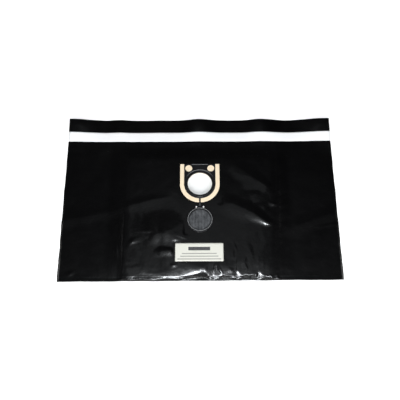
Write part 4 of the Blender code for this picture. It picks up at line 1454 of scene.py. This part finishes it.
# %% [markdown]
# ## Floor, light and camera
#
# Black film shows nothing but what it mirrors. Lying flat and seen from in front, it
# mirrors the room beyond the zenith, so that part of the room is kept dark. A broad,
# dim ceiling hangs overhead, with a brighter core towards the camera: every facet that
# leans forward catches them as a grey glow. Two small strong lamps beside the core
# give the white glints. The big lamp in front and the two at the sides light the pale
# pieces, and film that lies flat doesn't mirror them to the camera.
#
# The floor is pale, and where it is seen or mirrored it shines a little by itself, up
# to white far off, so that the background is white without more light on the bag. The
# camera looks down on the bag from in front, at about 67 degrees.

# %% Floor
FLOOR_HALF, FLOOR_DROP = 8.0, 0.3 * MM
WHITE_FROM, WHITE_FADE = 0.6, 1.2  # metres from the bag's middle


def build_floor():
    """The share of white is (distance - from) / fade."""
    far_x, far_y = [-1, 1, 1, -1], [-1, -1, 1, 1]
    corners = np.column_stack([far_x, far_y]) * FLOOR_HALF
    points = np.column_stack([corners, np.full(4, -FLOOR_DROP)])
    pale = Finish("floor", Base_Color=(0.88, 0.88, 0.88), Roughness=0.9, Specular_IOR_Level=0.1)
    rays = [
        pale.node("ShaderNodeLightPath", {}, {}, name)
        for name in ("Is Camera Ray", "Is Glossy Ray", "Is Transmission Ray")
    ]
    seen = (rays[0] + rays[1] + rays[2]).clipped()
    far = ((pale.length(pale.place()) - WHITE_FROM) / WHITE_FADE).clipped()
    glow = pale.blend(far, (0.45, 0.45, 0.45), (1.0, 1.0, 1.0))
    pale.set("Emission Color", pale.blend(seen, (0.0, 0.0, 0.0), glow))
    pale.set("Emission Strength", 1.0)
    floor = make_piece("floor", points, [np.array([[0, 1, 2, 3]])], pale.material)


build_floor()

# %% Room
ROOM_TONES = [(0.38, (0.004, 0.004, 0.004, 1.0)), (0.68, (0.05, 0.05, 0.052, 1.0))]


def build_room():
    """A dim room of soft blotches between two tones, and white where it is seen."""
    world = bpy.data.worlds.new("room")
    bpy.context.scene.world = world
    world.use_nodes = True
    tree = world.node_tree

    def add(kind, **values):
        node = tree.nodes.new(kind)
        for name, value in values.items():
            node.inputs[name].default_value = value
        return node

    blotches = add("ShaderNodeTexNoise", Scale=3.2, Detail=3.0)
    tones = add("ShaderNodeValToRGB")
    for element, (place, tone) in zip(tones.color_ramp.elements, ROOM_TONES):
        element.position, element.color = place, tone
    room = tree.nodes["Background"]
    seen = add("ShaderNodeBackground", Color=(1.0, 1.0, 1.0, 1.0))
    rays, mix = add("ShaderNodeLightPath"), add("ShaderNodeMixShader")
    for source, target in (
        (blotches.outputs["Fac"], tones.inputs["Fac"]),
        (tones.outputs["Color"], room.inputs["Color"]),
        (rays.outputs["Is Camera Ray"], mix.inputs[0]),
        (room.outputs[0], mix.inputs[1]),
        (seen.outputs[0], mix.inputs[2]),
        (mix.outputs[0], tree.nodes["World Output"].inputs["Surface"]),
    ):
        tree.links.new(source, target)
    print("room:", len(tree.nodes), "nodes")


build_room()


# %% Lamps
COOL, NEUTRAL = (0.93, 0.97, 1.0), (1.0, 1.0, 1.0)
# name, place, the point that it faces, width, depth, radiance, colour
SOFTBOXES = [
    ("ceiling", (0.0, -0.35, 1.8), (0.0, -0.35, 0.0), 1.0, 1.1, 0.34, COOL),
    ("ceiling_core", (0.0, -0.52, 1.79), (0.0, -0.52, 0.0), 0.7, 0.42, 1.8, COOL),
    ("fill", (0.0, 0.47, 1.8), (0.0, 0.47, 0.0), 0.7, 0.56, 0.22, COOL),
    ("glint_left", (-0.12, -0.52, 1.78), (0.0, -0.15, 0.0), 0.37, 0.17, 60.0, COOL),
    ("glint_right", (0.45, -0.60, 1.75), (0.1, -0.15, 0.0), 0.2, 0.16, 60.0, COOL),
    ("front", (0.0, -2.2, 1.6), (0.0, 0.0, 0.0), 2.2, 1.1, 8.4, NEUTRAL),
    ("left", (-1.7, 0.1, 1.0), (0.0, 0.0, 0.0), 0.5, 1.2, 2.5, NEUTRAL),
    ("right", (1.7, 0.1, 1.0), (0.0, 0.0, 0.0), 0.5, 1.2, 2.5, NEUTRAL),
]


def softbox(name, place, aim, width, depth, radiance, colour):
    """An oblong lamp. Its power is radiance * pi * area, so that one number says how
    bright it looks from anywhere in front of it."""
    lamp = bpy.data.lights.new(name, "AREA")
    lamp.shape, lamp.size, lamp.size_y = "RECTANGLE", width, depth
    lamp.energy, lamp.color = radiance * math.pi * width * depth, colour
    made = shown(name, lamp)
    made.location = place
    toward = Vector(aim) - Vector(place)
    made.rotation_euler = toward.to_track_quat("-Z", "Y").to_euler()
    made.visible_camera = False


for row in SOFTBOXES:
    softbox(*row)
print("lamps:", len(SOFTBOXES))

# %% Camera
LENS, SENSOR = 54.08, 36.0
CAMERA_PLACE, CAMERA_AIM = (0.00028, -0.6102, 1.4237), (0.00028, -0.01238, 0.0)
CAMERA_ROLL = math.radians(-0.21)  # the picture leans a little

camera_data = bpy.data.cameras.new("camera")
camera_data.lens, camera_data.sensor_width = LENS, SENSOR
camera = shown("camera", camera_data)
camera.location = CAMERA_PLACE
sight = Vector(CAMERA_AIM) - camera.location
roll = Quaternion((0, 0, 1), CAMERA_ROLL)
camera.rotation_euler = (sight.to_track_quat("-Z", "Y") @ roll).to_euler()
bpy.context.scene.camera = camera
bpy.context.scene.view_settings.view_transform = "Standard"
print("camera at", tuple(camera.location))
